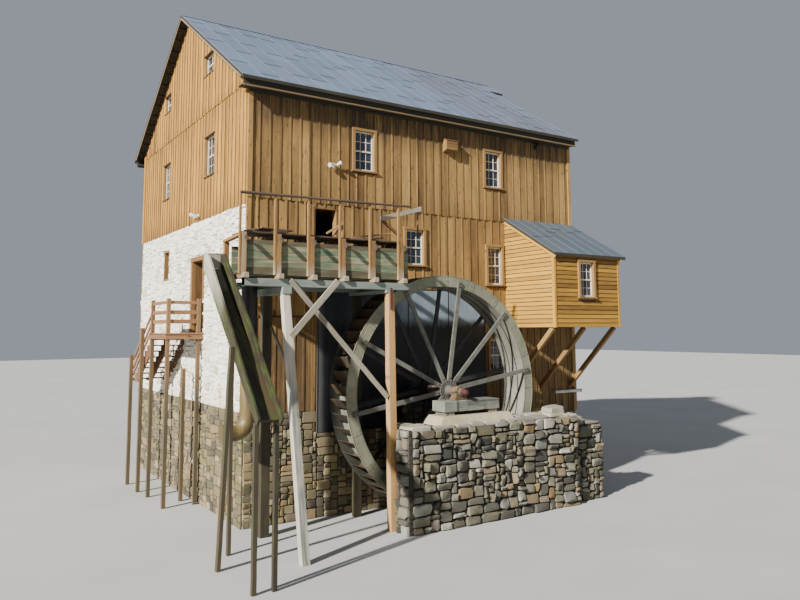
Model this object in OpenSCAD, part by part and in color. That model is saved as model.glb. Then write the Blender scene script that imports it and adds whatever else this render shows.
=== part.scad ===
/* [House] */
// Length of the house along its eaves, outside the walls
body_l = 12120; // [12100:10:12400]
// Width of the house across its gables, outside the walls
body_w = 10820; // [10600:10:11200]
// Height of the ridge above the base
ridge_z = 15600; // [15400:10:15900]
// Height of the outer eave edge above the base
eave_z = 11760; // [11700:10:11820]
// Overhang of the roof past the front and back walls
eave_out = 480; // [440:10:520]
// Overhang of the roof past the left gable
verge_out = 357; // [300:1:420]
// Thickness of the boarded frame walls
wall_t = 200; // [150:10:220]
// Thickness of the stone gable wall
stone_t = 500; // [450:10:550]
// Top of the stone storey above the base
stone_z = 8420; // [8400:5:8450]

/* [Wheel] */
// Outer diameter of the water wheel
wheel_d = 6400; // [6300:10:6400]
// Width of the wheel over its two rings
wheel_w = 910; // [880:10:940]
// Radial depth of the rings
ring_h = 300; // [270:5:320]
// Number of buckets
bucket_n = 54; // [40:2:60]
// Number of spokes on each side
spoke_n = 10; // [8:1:12]
// Diameter of the wheel shaft
shaft_d = 220; // [180:5:230]

/* [Flume] */
// Height of the trough sides
flume_h = 830; // [760:10:880]
// Spacing of the yokes along the trough
yoke_step = 876; // [860:1:880]

/* [Hidden] */

L = body_l;
W = body_w;
T = wall_t;
g = 2;                       // joint left between slabs of one wall
yr = W / 2;                  // ridge line
slope = (ridge_z - eave_z) / (yr + eave_out);
roof_v = 90;                 // roof thickness measured upright
base_f = 2250;               // top of the footings
base_l = 2870;               // top of the footings at the left end of the front
hub_x = 5268;
hub_z = 3350;
R = wheel_d / 2;
Ri = R - ring_h;
wy0 = -1755;                 // front face of the wheel's front ring
wy1 = wy0 + wheel_w;         // back face of its back ring
spoke_t = 45;
fl_x0 = -810;
fl_x1 = 3720;
fl_y0 = -2150;
fl_y1 = -500;
fl_z = 6340;                 // underside of the trough
fl_top = fl_z + flume_h;
hood_out = 850;
ch_x0 = -1520;               // outer faces of the spill chute
ch_x1 = -980;
ch_y0 = -4760;               // its lower end
bay_x0 = 9030;
bay_x1 = 11930;
bay_y = -2240;
f1 = 5000;                   // storey floors, top faces
f2 = 8650;
f3 = 11750;
deck_z = 4965;
lawn = 3370;
cx = (ch_x0 - 92 + L + hood_out) / 2;
cy = (ch_y0 + W + eave_out) / 2;

// window openings: along the wall from, to, sill, head
front_low = [[8290, 8860, 3690, 4700]];
front_mid = [[1990, 2700, 7080, 8470], [5060, 5710, 6990, 8060], [8250, 8860, 6480, 7720],
             [9800, 10900, 5400, 7300]];
front_up = [[3270, 3930, 9690, 10880], [8210, 8870, 9710, 10900]];
gable_mid = [[2640, 3440, 9730, 10940], [7330, 8050, 9700, 10930]];
gable_att = [[2860, 3660, 12960, 13590], [7430, 8130, 12900, 13500]];
slit = [7180, 7800, 6780, 7800];
right_low = [[2640, 3440, 6480, 7720], [7330, 8050, 6480, 7720]];
right_att = [[3100, 3800, 12700, 13300], [7020, 7720, 12700, 13300]];
back_1 = [[2200, 2860, 6480, 7720], [5730, 6390, 6480, 7720], [9260, 9920, 6480, 7720]];
back_2 = [[2200, 2860, 9690, 10880], [5730, 6390, 9690, 10880], [9260, 9920, 9690, 10880]];
bay_win = [10120, 10720, 6030, 7120];
door = [3320, 4680, 5000, 7330];

function roof_at(y) = ridge_z - slope * abs(y - yr);

module place() translate([-cx, -cy, 0]) children();
module bx(x0, x1, y0, y1, z0, z1) translate([x0, y0, z0]) cube([x1 - x0, y1 - y0, z1 - z0]);
// outline in Y and Z, drawn out along X
module px(x0, x1, p) translate([x0, 0, 0]) rotate([90, 0, 90]) linear_extrude(x1 - x0) polygon(p);
// outline in X and Z, drawn out along Y
module py(y0, y1, p) translate([0, y1, 0]) rotate([90, 0, 0]) linear_extrude(y1 - y0) polygon(p);
function quad(a, b, w) = let (d = b - a, n = [-d[1], d[0]] / norm(d) * w / 2)
  [a + n, b + n, b - n, a - n];
module bar_x(x0, x1, a, b, w) px(x0, x1, quad(a, b, w));
module bar_y(y0, y1, a, b, w) py(y0, y1, quad(a, b, w));
// wall slabs between a0 and a1 around its openings, as piers and spandrels
module slabs(a0, a1, z0, z1, o) {
  n = len(o);
  for (i = [0:n]) {
    s = i == 0 ? a0 : o[i - 1][1];
    e = i == n ? a1 : o[i][0];
    square_in(s, e, z0, z1);
  }
  for (q = o) {
    if (q[2] > z0 + 1) square_in(q[0] + g, q[1] - g, z0, q[2]);
    if (q[3] < z1 - 1) square_in(q[0] + g, q[1] - g, q[3], z1);
  }
}
module square_in(s, e, z0, z1) translate([s, z0]) square([e - s, z1 - z0]);
module wall_x(y0, y1) translate([0, y1, 0]) rotate([90, 0, 0]) linear_extrude(y1 - y0) children();
module wall_y(x0, x1) translate([x0, 0, 0]) rotate([90, 0, 90]) linear_extrude(x1 - x0) children();
module gable_shape(y0, y1, z0) polygon([[y0, z0], [y1, z0], [y1, roof_at(y1) - roof_v - 10],
  [yr, ridge_z - roof_v - 10], [y0, roof_at(y0) - roof_v - 10]]);

module frame_2d(q, out, bar) difference() {
  translate([q[0] - out, q[2] - out]) square([q[1] - q[0] + 2 * out, q[3] - q[2] + 2 * out]);
  translate([q[0] + bar, q[2] + bar]) square([q[1] - q[0] - 2 * bar, q[3] - q[2] - 2 * bar]);
}
module sash_2d(q, bar) difference() {
  translate([q[0], q[2]]) square([q[1] - q[0], q[3] - q[2]]);
  translate([q[0] + bar, q[2] + bar]) square([q[1] - q[0] - 2 * bar, q[3] - q[2] - 2 * bar]);
}
// window in a wall that faces -Y at y
module win_front(q, y) {
  wall_x(y - 45, y) frame_2d(q, 85, 10);
  wall_x(y, y + 110) sash_2d(q, 45);
  bx(q[0] - 110, q[1] + 110, y - 90, y - 45, q[2] - 85, q[2] - 35);
}
module pane_front(q, y) bx(q[0] + 45, q[1] - 45, y + 50, y + 60, q[2] + 45, q[3] - 45);
module win_back(q, y) {
  wall_x(y, y + 45) frame_2d(q, 85, 10);
  wall_x(y - 110, y) sash_2d(q, 45);
  bx(q[0] - 110, q[1] + 110, y + 45, y + 90, q[2] - 85, q[2] - 35);
}
module pane_back(q, y) bx(q[0] + 45, q[1] - 45, y - 60, y - 50, q[2] + 45, q[3] - 45);
module win_left(q, x) {
  wall_y(x - 30, x) frame_2d(q, 25, 10);
  wall_y(x, x + 110) sash_2d(q, 40);
  bx(x - 75, x - 30, q[0] - 50, q[1] + 50, q[2] - 25, q[2]);
  bx(x - 75, x - 30, q[0] - 50, q[1] + 50, q[3], q[3] + 25);
}
module pane_left(q, x) bx(x + 70, x + 80, q[0] + 40, q[1] - 40, q[2] + 40, q[3] - 40);
module win_right(q, x) {
  wall_y(x, x + 30) frame_2d(q, 25, 10);
  wall_y(x - 110, x) sash_2d(q, 40);
  bx(x + 30, x + 75, q[0] - 50, q[1] + 50, q[2] - 25, q[2]);
  bx(x + 30, x + 75, q[0] - 50, q[1] + 50, q[3], q[3] + 25);
}
module pane_right(q, x) bx(x - 80, x - 70, q[0] + 40, q[1] - 40, q[2] + 40, q[3] - 40);

// ---- house ----
module foundation_walls() color("#b3aa98") place() {
  bx(stone_t + g, 2100 - g, 0, 450, 0, base_l);
  bx(2100, L, 0, 450, 0, base_f);
  bx(stone_t + g, L, W - 450, W, 0, base_f);
  bx(L - 450, L, 450 + g, W - 450 - g, 0, base_f);
}
module stone_gable_wall() color("#ebe6dc") place() {
  bx(0, stone_t, 0, W, 0, base_l - g);
  bx(0, stone_t, T, W - T, base_l, door[2] - g);
  wall_y(0, stone_t) {
    square_in(T, door[0], door[2], stone_z);
    square_in(door[0] + g, door[1] - g, door[3], stone_z);
    slabs(door[1], W - T, door[2], stone_z, [slit]);
  }
}
module front_wall_lower() color("#b28652") place() wall_x(0, T) {
  square_in(0, 2100 - g, base_l, 5400);
  slabs(2100, L, base_f, 5400, front_low);
}
module front_wall_middle() color("#b28652") place() wall_x(0, T)
  slabs(0, L, 5400, 8590, front_mid);
module front_wall_upper() color("#b28652") place() wall_x(0, T)
  slabs(0, L, 8590, 11900, front_up);
module back_wall() color("#b28652") place() wall_x(W - T, W) {
  square_in(0, stone_t, base_l, 5400 - g);
  square_in(stone_t + g, L, base_f, 5400 - g);
  slabs(0, L, 5400, 8590 - g, back_1);
  slabs(0, L, 8590, 11900, back_2);
}
module right_gable_wall() color("#b28652") place() {
  wall_y(L - T, L) {
    square_in(T, W - T, base_f, 5400 - g);
    slabs(T, W - T, 5400, 8590 - g, right_low);
    slabs(T, W - T, 8590, 12000 - g, gable_mid);
    intersection() {
      slabs(T, W - T, 12000, ridge_z, right_att);
      gable_shape(T, W - T, 12000);
    }
  }
}
module left_gable_wall() color("#d6ac6e") place() {
  wall_y(0, T) {
    slabs(T, W - T, stone_z, 12000 - g, gable_mid);
    intersection() {
      slabs(T, W - T, 12000, ridge_z, gable_att);
      gable_shape(T, W - T, 12000);
    }
  }
}
module storey_floors() color("#9c7a4e") place() {
  bx(stone_t, L - 450, 450, W - 450, 2000, 2150);
  bx(stone_t, L - T, T, W - T, f1 - 200, f1);
  bx(T, L - T, T, W - T, f2 - 170, f2);
  bx(T, L - T, T, W - T, f3 - 200, f3);
}
module slope_panel(x0, x1, ya, yb) px(x0, x1, [[ya, roof_at(ya)], [yb, roof_at(yb)],
  [yb, roof_at(yb) - roof_v], [ya, roof_at(ya) - roof_v]]);
module roof_front_slope() color("#828c94") place()
  slope_panel(-verge_out, L + 60, -eave_out, yr);
module roof_back_slope() color("#828c94") place()
  slope_panel(-verge_out, L + 60, W + eave_out, yr + 0.5);
// the roof's two slopes carried on past the right gable over the hoist
module roof_hood() color("#7c868e") place() for (s = [-1, 1])
  px(L + 60, L + hood_out, [[yr + s * 1010, roof_at(yr + 1010)], [yr + s * 0.5, ridge_z],
    [yr + s * 0.5, ridge_z - 90], [yr + s * 1010, roof_at(yr + 1010) - 90]]);
module eaves_and_rakes() color("#8a6a3c") place() {
  z1 = roof_at(-350) - roof_v - 5;
  bx(-verge_out + 60, L + 15, -380, -340, z1 - 240, z1 - 20);
  bx(-verge_out + 60, L + 15, -338, 0, z1 - 210, z1 - 180);
  bx(-verge_out + 60, L + 15, W + 340, W + 380, z1 - 240, z1 - 20);
  bx(-verge_out + 60, L + 15, W, W + 338, z1 - 210, z1 - 180);
  for (x = [-verge_out, L + 20])
    for (s = [-1, 1])
      px(x, x + 38, [[yr + s * 4, ridge_z - roof_v - 6], [yr + s * (yr + 300), roof_at(-300) - roof_v - 6],
        [yr + s * (yr + 300), roof_at(-300) - roof_v - 86], [yr + s * 4, ridge_z - roof_v - 86]]);
}
module front_window_frames() color("#e9e6da") place() {
  for (q = front_low) win_front(q, 0);
  win_front(front_mid[1], 0);
  win_front(front_mid[2], 0);
  for (q = front_up) win_front(q, 0);
  win_front(bay_win, bay_y);
}
module front_window_panes() color("#4a5560") place() {
  for (q = front_low) pane_front(q, 0);
  pane_front(front_mid[1], 0);
  pane_front(front_mid[2], 0);
  for (q = front_up) pane_front(q, 0);
  pane_front(bay_win, bay_y);
}
module gable_window_frames() color("#e9e6da") place() {
  for (q = gable_mid) win_left(q, 0);
  for (q = gable_att) win_left(q, 0);
  wall_y(260, 320) sash_2d(slit, 45);
  for (q = right_low) win_right(q, L);
  for (q = gable_mid) win_right(q, L);
  for (q = right_att) win_right(q, L);
}
module gable_window_panes() color("#4a5560") place() {
  for (q = gable_mid) pane_left(q, 0);
  for (q = gable_att) pane_left(q, 0);
  bx(285, 295, slit[0] + 45, slit[1] - 45, slit[2] + 45, slit[3] - 45);
  for (q = right_low) pane_right(q, L);
  for (q = gable_mid) pane_right(q, L);
  for (q = right_att) pane_right(q, L);
}
module back_window_frames() color("#e9e6da") place()
  for (q = concat(back_1, back_2)) win_back(q, W);
module back_window_panes() color("#4a5560") place()
  for (q = concat(back_1, back_2)) pane_back(q, W);

// ---- bay on braces ----
function bay_at(y) = 8640 + y * (8640 - 7340) / -bay_y;
module bay_walls() color("#c99a5c") place() {
  for (x = [bay_x0, bay_x1 - 100])
    px(x, x + 100, [[0, 5250], [0, bay_at(0)], [bay_y, bay_at(bay_y)], [bay_y, 5250]]);
  wall_x(bay_y, bay_y + 100) slabs(bay_x0 + 100 + g, bay_x1 - 100 - g, 5250, bay_at(bay_y), [bay_win]);
}
module bay_frame() color("#b28652") place() {
  bx(bay_x0, bay_x1, bay_y, 0, 5090, 5240);
  for (x = [bay_x0 + 20, 10390, bay_x1 - 140])
    px(x, x + 120, [[-2170, 5088], [-1960, 5088], [0, 3190], [0, 2990]]);
}
module bay_roof() color("#6f7b85") place()
  px(bay_x0 - 70, bay_x1 + 250, [[0, bay_at(0) + 95], [bay_y - 130, bay_at(bay_y - 130) + 95],
    [bay_y - 130, bay_at(bay_y - 130) + 10], [0, bay_at(0) + 10]]);

// ---- entrance ----
leaf_x = 345;
pin_x = 402;
pin_y = 4650;
knuckle_z = [5250, 6150, 7050];
module entrance_frame() color("#8a5a34") place() {
  bx(-25, leaf_x - 8, door[0] + 1, door[0] + 160, door[2] + 1, door[3] - 150);
  bx(-25, leaf_x - 8, door[1] - 160, door[1] - 1, door[2] + 1, door[3] - 150);
  bx(-25, leaf_x - 8, door[0] + 1, door[1] - 1, door[3] - 150 + g, door[3] - 1);
  // hinge pins on their brackets, let into the right jamb
  for (z = knuckle_z) {
    translate([pin_x, pin_y, z - 14]) cylinder(h = 114, r = 4.95, $fn = 32);
    translate([pin_x, pin_y, z - 14]) cylinder(h = 12, r = 6, $fn = 32);
    bx(pin_x - 5, pin_x + 5, pin_y, door[1] - 1, z - 14, z - 2);
  }
}
module entrance_door() color("#7d5a3a") place() difference() {
  union() {
    bx(leaf_x, leaf_x + 50, door[0] + 60, door[1] - 30, door[2] + 8, door[3] - 20);
    for (z = knuckle_z) translate([pin_x, pin_y, z]) cylinder(h = 90, r = 12, $fn = 32);
  }
  for (z = knuckle_z) translate([pin_x, pin_y, z - 1]) cylinder(h = 92, r = 5, $fn = 32);
}
// ---- landing and stair ----
ld_x = -1145;
ld_y0 = 3270;
ld_y1 = 5180;
st_n = 8;
rise = 188;
run = 290;
st_y1 = ld_y1 + st_n * run;
module landing_deck() color("#8d6440") place() {
  bx(ld_x, -2, ld_y0, ld_y1, deck_z - 40, deck_z);
  bx(ld_x, -2, ld_y0, ld_y0 + 40, deck_z - 180, deck_z - 42);
  bx(ld_x, ld_x + 40, ld_y0 + 42, ld_y1, deck_z - 180, deck_z - 42);
  bx(ld_x + 42, -2, ld_y1 - 40, ld_y1, deck_z - 180, deck_z - 42);
}
// posts under the deck and rail posts on it; the stair's own posts stand outside its stringer
module landing_posts() color("#8d6440") place() {
  for (q = [[ld_x + 42, ld_y0 + 42], [-207, ld_y0 + 42], [ld_x + 42, ld_y1 - 152]]) {
    bx(q[0], q[0] + 110, q[1], q[1] + 110, 0, deck_z - 42);
    bx(q[0], q[0] + 110, q[1], q[1] + 110, deck_z + 2, deck_z + 1020);
  }
  bx(-420, -310, 3970, 4080, 0, 3900);
  bx(ld_x - 45, ld_x + 65, 5925, 6035, 0, 5130);
  bx(ld_x - 45, ld_x + 65, 7295, 7405, 0, 4240);
}
module landing_rails() color("#9a6d45") place() {
  for (h = [[855, 955], [555, 675], [285, 405]]) {
    bx(ld_x + 154, -209, ld_y0 + 76, ld_y0 + 118, deck_z + h[0], deck_z + h[1]);
    bx(ld_x + 76, ld_x + 118, ld_y0 + 154, ld_y1 - 154, deck_z + h[0], deck_z + h[1]);
  }
  for (h = [620, 330, 100])
    bar_x(ld_x + 67, ld_x + 107, [ld_y1 - 8, deck_z + h - 20], [7400, deck_z + h - 1490], 90);
}
module stair_treads() color("#8d6440") place()
  for (i = [0:st_n - 1])
    bx(ld_x + 112, -12, ld_y1 + 12 + i * run, ld_y1 + 4 + (i + 1) * run, deck_z - rise * (i + 1) - 38, deck_z - rise * (i + 1));
// carriages cut to steps under the treads
module stair_stringers() color("#7c5836") place()
  for (x = [ld_x + 112, -600, -60])
    px(x, x + 45, concat([for (i = [0:st_n - 1]) each [[ld_y1 + 2 + i * run, deck_z - rise * (i + 1) - 40],
      [ld_y1 + 2 + (i + 1) * run, deck_z - rise * (i + 1) - 40]]],
      [[st_y1 + 2, lawn + 2], [ld_y1 + 1640, lawn + 2], [ld_y1 + 2, deck_z - rise - 380]]));

// ---- flume and trestles ----
module flume_trough() color("#8f8b74") place() {
  px(fl_x0, fl_x1, [[fl_y0, fl_z], [fl_y1, fl_z], [fl_y1, fl_z + 60], [fl_y0 + 50, fl_z + 60],
    [fl_y0 + 50, fl_top], [fl_y0, fl_top]]);
  bx(fl_x0 + 220, fl_x1, fl_y1 - 50, fl_y1, fl_z + 30, fl_top);
}
yx = [for (i = [0:5]) -900 + i * yoke_step];
module flume_yokes() color("#b08150") place() {
  for (i = [0:5]) {
    x = yx[i];
    top = 8208 + 14.7 * i;
    lean = i == 0 ? 20 : 45;
    bx(x - 65, x + 65, fl_y0 - 66, fl_y0 - 2, fl_z, 7330);
    // short knee in front of the post's head
    bar_x(x - 15, x + 65, [fl_y0 - 100, 7228], [fl_y0 - 238, 7086], 85);
    // rail upright on the front post, leaning back to the left
    py(fl_y0 - 90, fl_y0 - 20, [[x - 75 + lean / 3, 7332], [x - 5 + lean / 3, 7332], [x - 20 - lean * 1.1, top], [x - 90 - lean * 1.1, top]]);
    if (i > 0) {
      bx(x - 65, x + 65, fl_y1 + 2, fl_y1 + 112, fl_z, 7330);
      bx(x - 60, x + 60, fl_y0, fl_y1, 7190, 7330);
    }
    bx(x - 70, x + 70, fl_y0 - 230, fl_y1 + 150, 6250, 6338);
  }
  // the first yoke stands askew, with a flat plank for its head
  bx(yx[0] + 140, yx[0] + 270, fl_y1 + 2, fl_y1 + 112, fl_z, 7263);
  translate([0, 0, 7265]) linear_extrude(65)
    polygon([[yx[0] - 60, fl_y0], [yx[0] + 70, fl_y0], [yx[0] + 265, fl_y1 + 150], [yx[0] + 135, fl_y1 + 150]]);
}
module flume_beams() color("#9c9888") place() {
  py(-2290, -2090, [[-900, 6070], [3560, 6070], [3780, 6250], [-900, 6250]]);
  py(-640, -440, [[-900, 6070], [3560, 6070], [3780, 6250], [-900, 6250]]);
  bx(30, 262, -2335, -420, 5900, 6068);
  bx(2920, 3140, -2335, -330, 5985, 6068);
}
module flume_walkway() color("#6e5f4c") place() {
  for (i = [0:3]) bx(-880 + i * 6, 3500 - i * 22, -2120 + i * 215, -2120 + i * 215 + 190, 7334, 7374 + (i % 2) * 8);
  bx(-760, 260, -2010, -1790, 7386, 7426);
  bx(-560, 340, -1960, -1740, 7430, 7470);
}
module flume_handrail() color("#7b6a52") place() {
  translate([fl_x0 - 210, fl_y0 - 76, 8248]) rotate([0, 89.04, 0]) cylinder(h = 4780, r = 36, $fn = 32);
}
module gate_lever() color("#a9a595") place() {
  bar_y(-2030, -1950, [2960, 7960], [4240, 8330], 150);
  bar_y(-2030, -1950, [3010, 7920], [3560, 7530], 65);
  bx(4165, 4215, -1948, -1900, 7690, 8330);
}
module trestle_legs() color("#a8906a") place() {
  // battered front leg and upright back leg at the left, two uprights at the wheel
  px(50, 240, [[-2300, 5898], [-2112, 5898], [-3312, 0], [-3500, 0]]);
  bx(100, 335, -1010, -790, 0, 5898);
  py(-2335, -2145, [[2978, 5983], [3165, 5983], [3262, 0], [3040, 0]]);
  bx(3000, 3200, -590, -390, 0, 5983);
}
module trestle_braces() color("#b4b1a6") place() {
  // leans out with the battered leg, clear of its front face
  translate([0, -2312, 6200]) rotate([-9.7, 0, 0]) bar_y(-50, 0, [1500, 42], [150, -1335], 150);
  // from the beam's front face down to the left side of the wheel-side leg
  py(-2345, -2292, [[150, 6262], [292, 6262], [2994, 3410], [2998, 3250], [2950, 3270]]);
  translate([310, -900, 0]) rotate([0, 0, -8.7]) bar_x(-20, 20, [-142, 5136], [-1508, 4337], 100);
}
module riser_pipe() color("#33302c") place() {
  translate([-400, -1320, 2950]) cylinder(h = fl_z - 2950 - 2, r = 190, $fn = 48);
  translate([-400, -1320, 2950]) rotate([90, 0, 0]) translate([-340, 0, 0])
    rotate([0, 0, -90]) rotate_extrude(angle = 90, $fn = 48) translate([340, 0]) circle(r = 190, $fn = 32);
  translate([-740, -1320, 2610]) rotate([0, -90, 0]) cylinder(h = 240, r = 190, $fn = 48);
  translate([-980, -1320, 2610]) rotate([0, -90, 0]) cylinder(h = 60, r = 240, $fn = 48);
}
module spill_chute() color("#6d6a45") place() {
  // side boards, the right one splayed, with floor and head board
  side = [[-1240, 6860], [-1240, 6480], [ch_y0 + 120, 3180], [ch_y0, 3330], [-1500, 6860]];
  px(ch_x0, ch_x0 + 45, side);
  translate([-1120, -1240, 0]) rotate([0, 0, 1.7]) translate([0, 1240, 0]) px(0, 45, side);
  translate([0, -1292, 6485]) rotate([44.4, 0, 0]) translate([0, 0, -25]) linear_extrude(50)
    polygon([[ch_x0 + 47, 0], [-1124, 0], [-1025, -4600], [ch_x0 + 47, -4600]]);
  bx(ch_x0 + 47, -1124, -1284, -1240, 6508, 6860);
}
module chute_legs() color("#6f6650") place() {
  px(ch_x0 - 2 - 90, ch_x0 - 2, [[-3430, 4680], [-3310, 4800], [-2700, 0], [-2830, 0]]);
  bx(ch_x0, ch_x0 + 100, -4560, -4460, 0, 3240);
  bx(ch_x1 - 110, ch_x1 - 10, -4560, -4460, 0, 3240);
  bx(-1050, -960, -1900, -1800, 0, 6240);
}

// ---- water wheel ----
module on_axis(y) translate([hub_x, y, hub_z]) rotate([-90, 0, 0]) children();
module ring_at(y) on_axis(y) difference() {
  cylinder(h = 20, r = R, $fn = 180);
  translate([0, 0, -1]) cylinder(h = 22, r = Ri, $fn = 180);
}
module wheel_rings() color("#7d7a6c") place() {
  ring_at(wy0);
  ring_at(wy1 - 20);
}
module wheel_sole() color("#a39f90") place() on_axis(wy0 + 20) difference() {
  cylinder(h = wheel_w - 40, r = Ri + 12, $fn = 180);
  translate([0, 0, -1]) cylinder(h = wheel_w, r = Ri - 2, $fn = 180);
}
module wheel_buckets() color("#6f6a5c") place()
  for (i = [0:bucket_n - 1])
    on_axis(wy0 + 22) rotate([0, 0, i * 360 / bucket_n]) linear_extrude(wheel_w - 44)
      polygon([[Ri + 14, 0], [Ri + 120, 0], [R - 10, 250], [R - 16, 262], [Ri + 115, 12], [Ri + 14, 12]]);
module spokes_at(y) on_axis(y) for (i = [0:spoke_n - 1])
  rotate([0, 0, -(9 + i * 360 / spoke_n)]) translate([230, -60, 0]) cube([Ri + 160 - 230, 120, spoke_t]);
module wheel_spokes() color("#7d7a6c") place() {
  spokes_at(wy0 - spoke_t);
  spokes_at(wy1);
}
module wheel_hub() color("#5f4a3c") place() {
  on_axis(-2660) cylinder(h = 2440, r = shaft_d / 2, $fn = 64);
  on_axis(wy0 - spoke_t - 45) cylinder(h = 44, r = 300, $fn = 64);
  on_axis(wy0 + 1) cylinder(h = 60, r = 300, $fn = 64);
  on_axis(wy1 + spoke_t + 1) cylinder(h = 44, r = 300, $fn = 64);
  on_axis(wy1 - 61) cylinder(h = 60, r = 300, $fn = 64);
}
seat_r = shaft_d / 2 + 5;
module bearing_sill() color("#a5a195") place() {
  bx(4600, 6500, -2520, -1960, 2850, 3130);
  bx(4680, 4980, -2480, -2000, 2760, 2848);
  bx(6150, 6430, -2480, -2000, 2760, 2848);
  difference() {
    bx(hub_x - 210, hub_x + 210, -2390, -2140, 3132, hub_z);
    on_axis(-2500) cylinder(h = 600, r = seat_r, $fn = 64);
  }
}
module bearing_plinth() color("#bdb6a4") place()
  intersection() {
    px(3700, 6900, [[-2780, 2540], [-2620, 2758], [-1960, 2758], [-1930, 2540]]);
    py(-2900, -1900, [[4290, 2540], [4490, 2758], [6760, 2758], [6860, 2540]]);
  }
module rear_bearing() color("#8d8674") place() {
  bx(4850, 5700, -700, -150, 0, 3000);
  difference() {
    bx(hub_x - 200, hub_x + 200, -600, -260, 3002, hub_z);
    on_axis(-700) cylinder(h = 600, r = seat_r, $fn = 64);
  }
}
module wheel_pit_wall() color("#9b9488") place() {
  bx(3290, 9100, -2920, -1930, 0, 2538);
  bx(3200, 3300, -2920, -2420, 0, 2538);
  bx(8700, 9100, -1928, -2, 0, 2400);
  bx(9102, 10350, -2700, -2000, 0, 2200);
}
module splash_panel() color("#7c8894") place()
  bx(2080, 8070, -62, -46, 2252, 6250);
module wall_fittings() color("#c9c9c4") place() {
  // lamp boxes on the front and gable, bracket under the eave, hoist hood box on the front
  bx(2440, 2700, -260, -2, 9640, 9860);
  bx(-260, -2, 4150, 4420, 8460, 8700);
  bx(10350, 10600, -300, -2, 11250, 11470);
  px(6480, 6920, [[-2, 10640], [-2, 11060], [-235, 11000], [-235, 10700]]);
  // white pipe at the right corner, on its bracket
  translate([11000, -150, 2905]) rotate([0, 90, 0]) cylinder(h = 1290, r = 50, $fn = 32);
  bx(11600, 11640, -105, -2, 2875, 2935);
}

foundation_walls();
stone_gable_wall();
front_wall_lower();
front_wall_middle();
front_wall_upper();
back_wall();
right_gable_wall();
left_gable_wall();
storey_floors();
roof_front_slope();
roof_back_slope();
roof_hood();
eaves_and_rakes();
front_window_frames();
front_window_panes();
gable_window_frames();
gable_window_panes();
back_window_frames();
back_window_panes();
bay_walls();
bay_frame();
bay_roof();
entrance_frame();
entrance_door();
landing_deck();
landing_posts();
landing_rails();
stair_treads();
stair_stringers();
flume_trough();
flume_yokes();
flume_beams();
flume_walkway();
flume_handrail();
gate_lever();
trestle_legs();
trestle_braces();
riser_pipe();
spill_chute();
chute_legs();
wheel_rings();
wheel_sole();
wheel_buckets();
wheel_spokes();
wheel_hub();
bearing_sill();
bearing_plinth();
rear_bearing();
wheel_pit_wall();
splash_panel();
wall_fittings();
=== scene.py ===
import bpy, bmesh, math, random
import numpy as np
from mathutils import Vector, Matrix


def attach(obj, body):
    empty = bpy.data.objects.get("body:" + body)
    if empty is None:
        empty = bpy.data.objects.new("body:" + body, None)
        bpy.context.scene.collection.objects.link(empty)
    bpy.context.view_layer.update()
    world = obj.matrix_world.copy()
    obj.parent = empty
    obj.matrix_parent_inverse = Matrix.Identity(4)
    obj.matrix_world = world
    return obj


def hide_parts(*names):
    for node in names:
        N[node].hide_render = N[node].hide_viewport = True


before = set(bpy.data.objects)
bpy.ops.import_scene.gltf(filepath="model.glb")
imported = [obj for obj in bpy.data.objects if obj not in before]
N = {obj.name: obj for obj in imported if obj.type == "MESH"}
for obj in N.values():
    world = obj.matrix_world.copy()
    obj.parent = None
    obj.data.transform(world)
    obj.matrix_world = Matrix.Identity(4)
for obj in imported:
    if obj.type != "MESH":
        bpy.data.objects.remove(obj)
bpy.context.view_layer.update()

# ------------------------------------------------------------------ frame
# The build frame has X along the front wall, Y into the house, Z up from the base, in metres.
CX, CY = 5.679, 3.270
L, W = 12.12, 10.82
RIDGE, EAVE, EO, VO = 15.6, 11.76, 0.48, 0.357
YR = W / 2
SLOPE = (RIDGE - EAVE) / (YR + EO)
HUBX, HUBZ = 5.268, 3.35
WY0, WY1 = -1.755, -0.845


def roof_at(y):
    return RIDGE - SLOPE * abs(y - YR)


# ------------------------------------------------------------------ camera and light
def look(yaw, pitch, roll):
    f = Vector((math.sin(yaw) * math.cos(pitch), math.cos(yaw) * math.cos(pitch), math.sin(pitch)))
    r = f.cross(Vector((0, 0, 1))).normalized()
    u = r.cross(f)
    r2 = r * math.cos(roll) + u * math.sin(roll)
    u2 = u * math.cos(roll) - r * math.sin(roll)
    return Matrix((r2, u2, -f)).transposed()


cam_d = bpy.data.cameras.new("camera")
cam = bpy.data.objects.new("camera", cam_d)
bpy.context.scene.collection.objects.link(cam)
cam.matrix_world = Matrix.Translation((-6.993 - CX, -18.148 - CY, 5.05)) @ look(
    math.radians(33.162), math.radians(6.091), math.radians(-0.283)).to_4x4()
cam_d.sensor_width = 36
cam_d.sensor_fit = "HORIZONTAL"
cam_d.lens = 39.94 * 0.815
cam_d.shift_y = -0.060
cam_d.clip_end = 400
bpy.context.scene.camera = cam

sun_d = bpy.data.lights.new("key", "SUN")
sun_d.energy = 12.8
sun_d.angle = math.radians(1.6)
sun_d.color = (1.0, 0.965, 0.90)
sun = bpy.data.objects.new("key", sun_d)
bpy.context.scene.collection.objects.link(sun)
sun.rotation_euler = Vector((3.1, 1.0, -1.67)).to_track_quat("-Z", "Y").to_euler()

world = bpy.data.worlds.new("studio")
world.use_nodes = True
bg = world.node_tree.nodes["Background"]
bg.inputs[0].default_value = (0.80, 0.88, 1.0, 1)
bg.inputs[1].default_value = 0.37
bpy.context.scene.world = world


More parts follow.
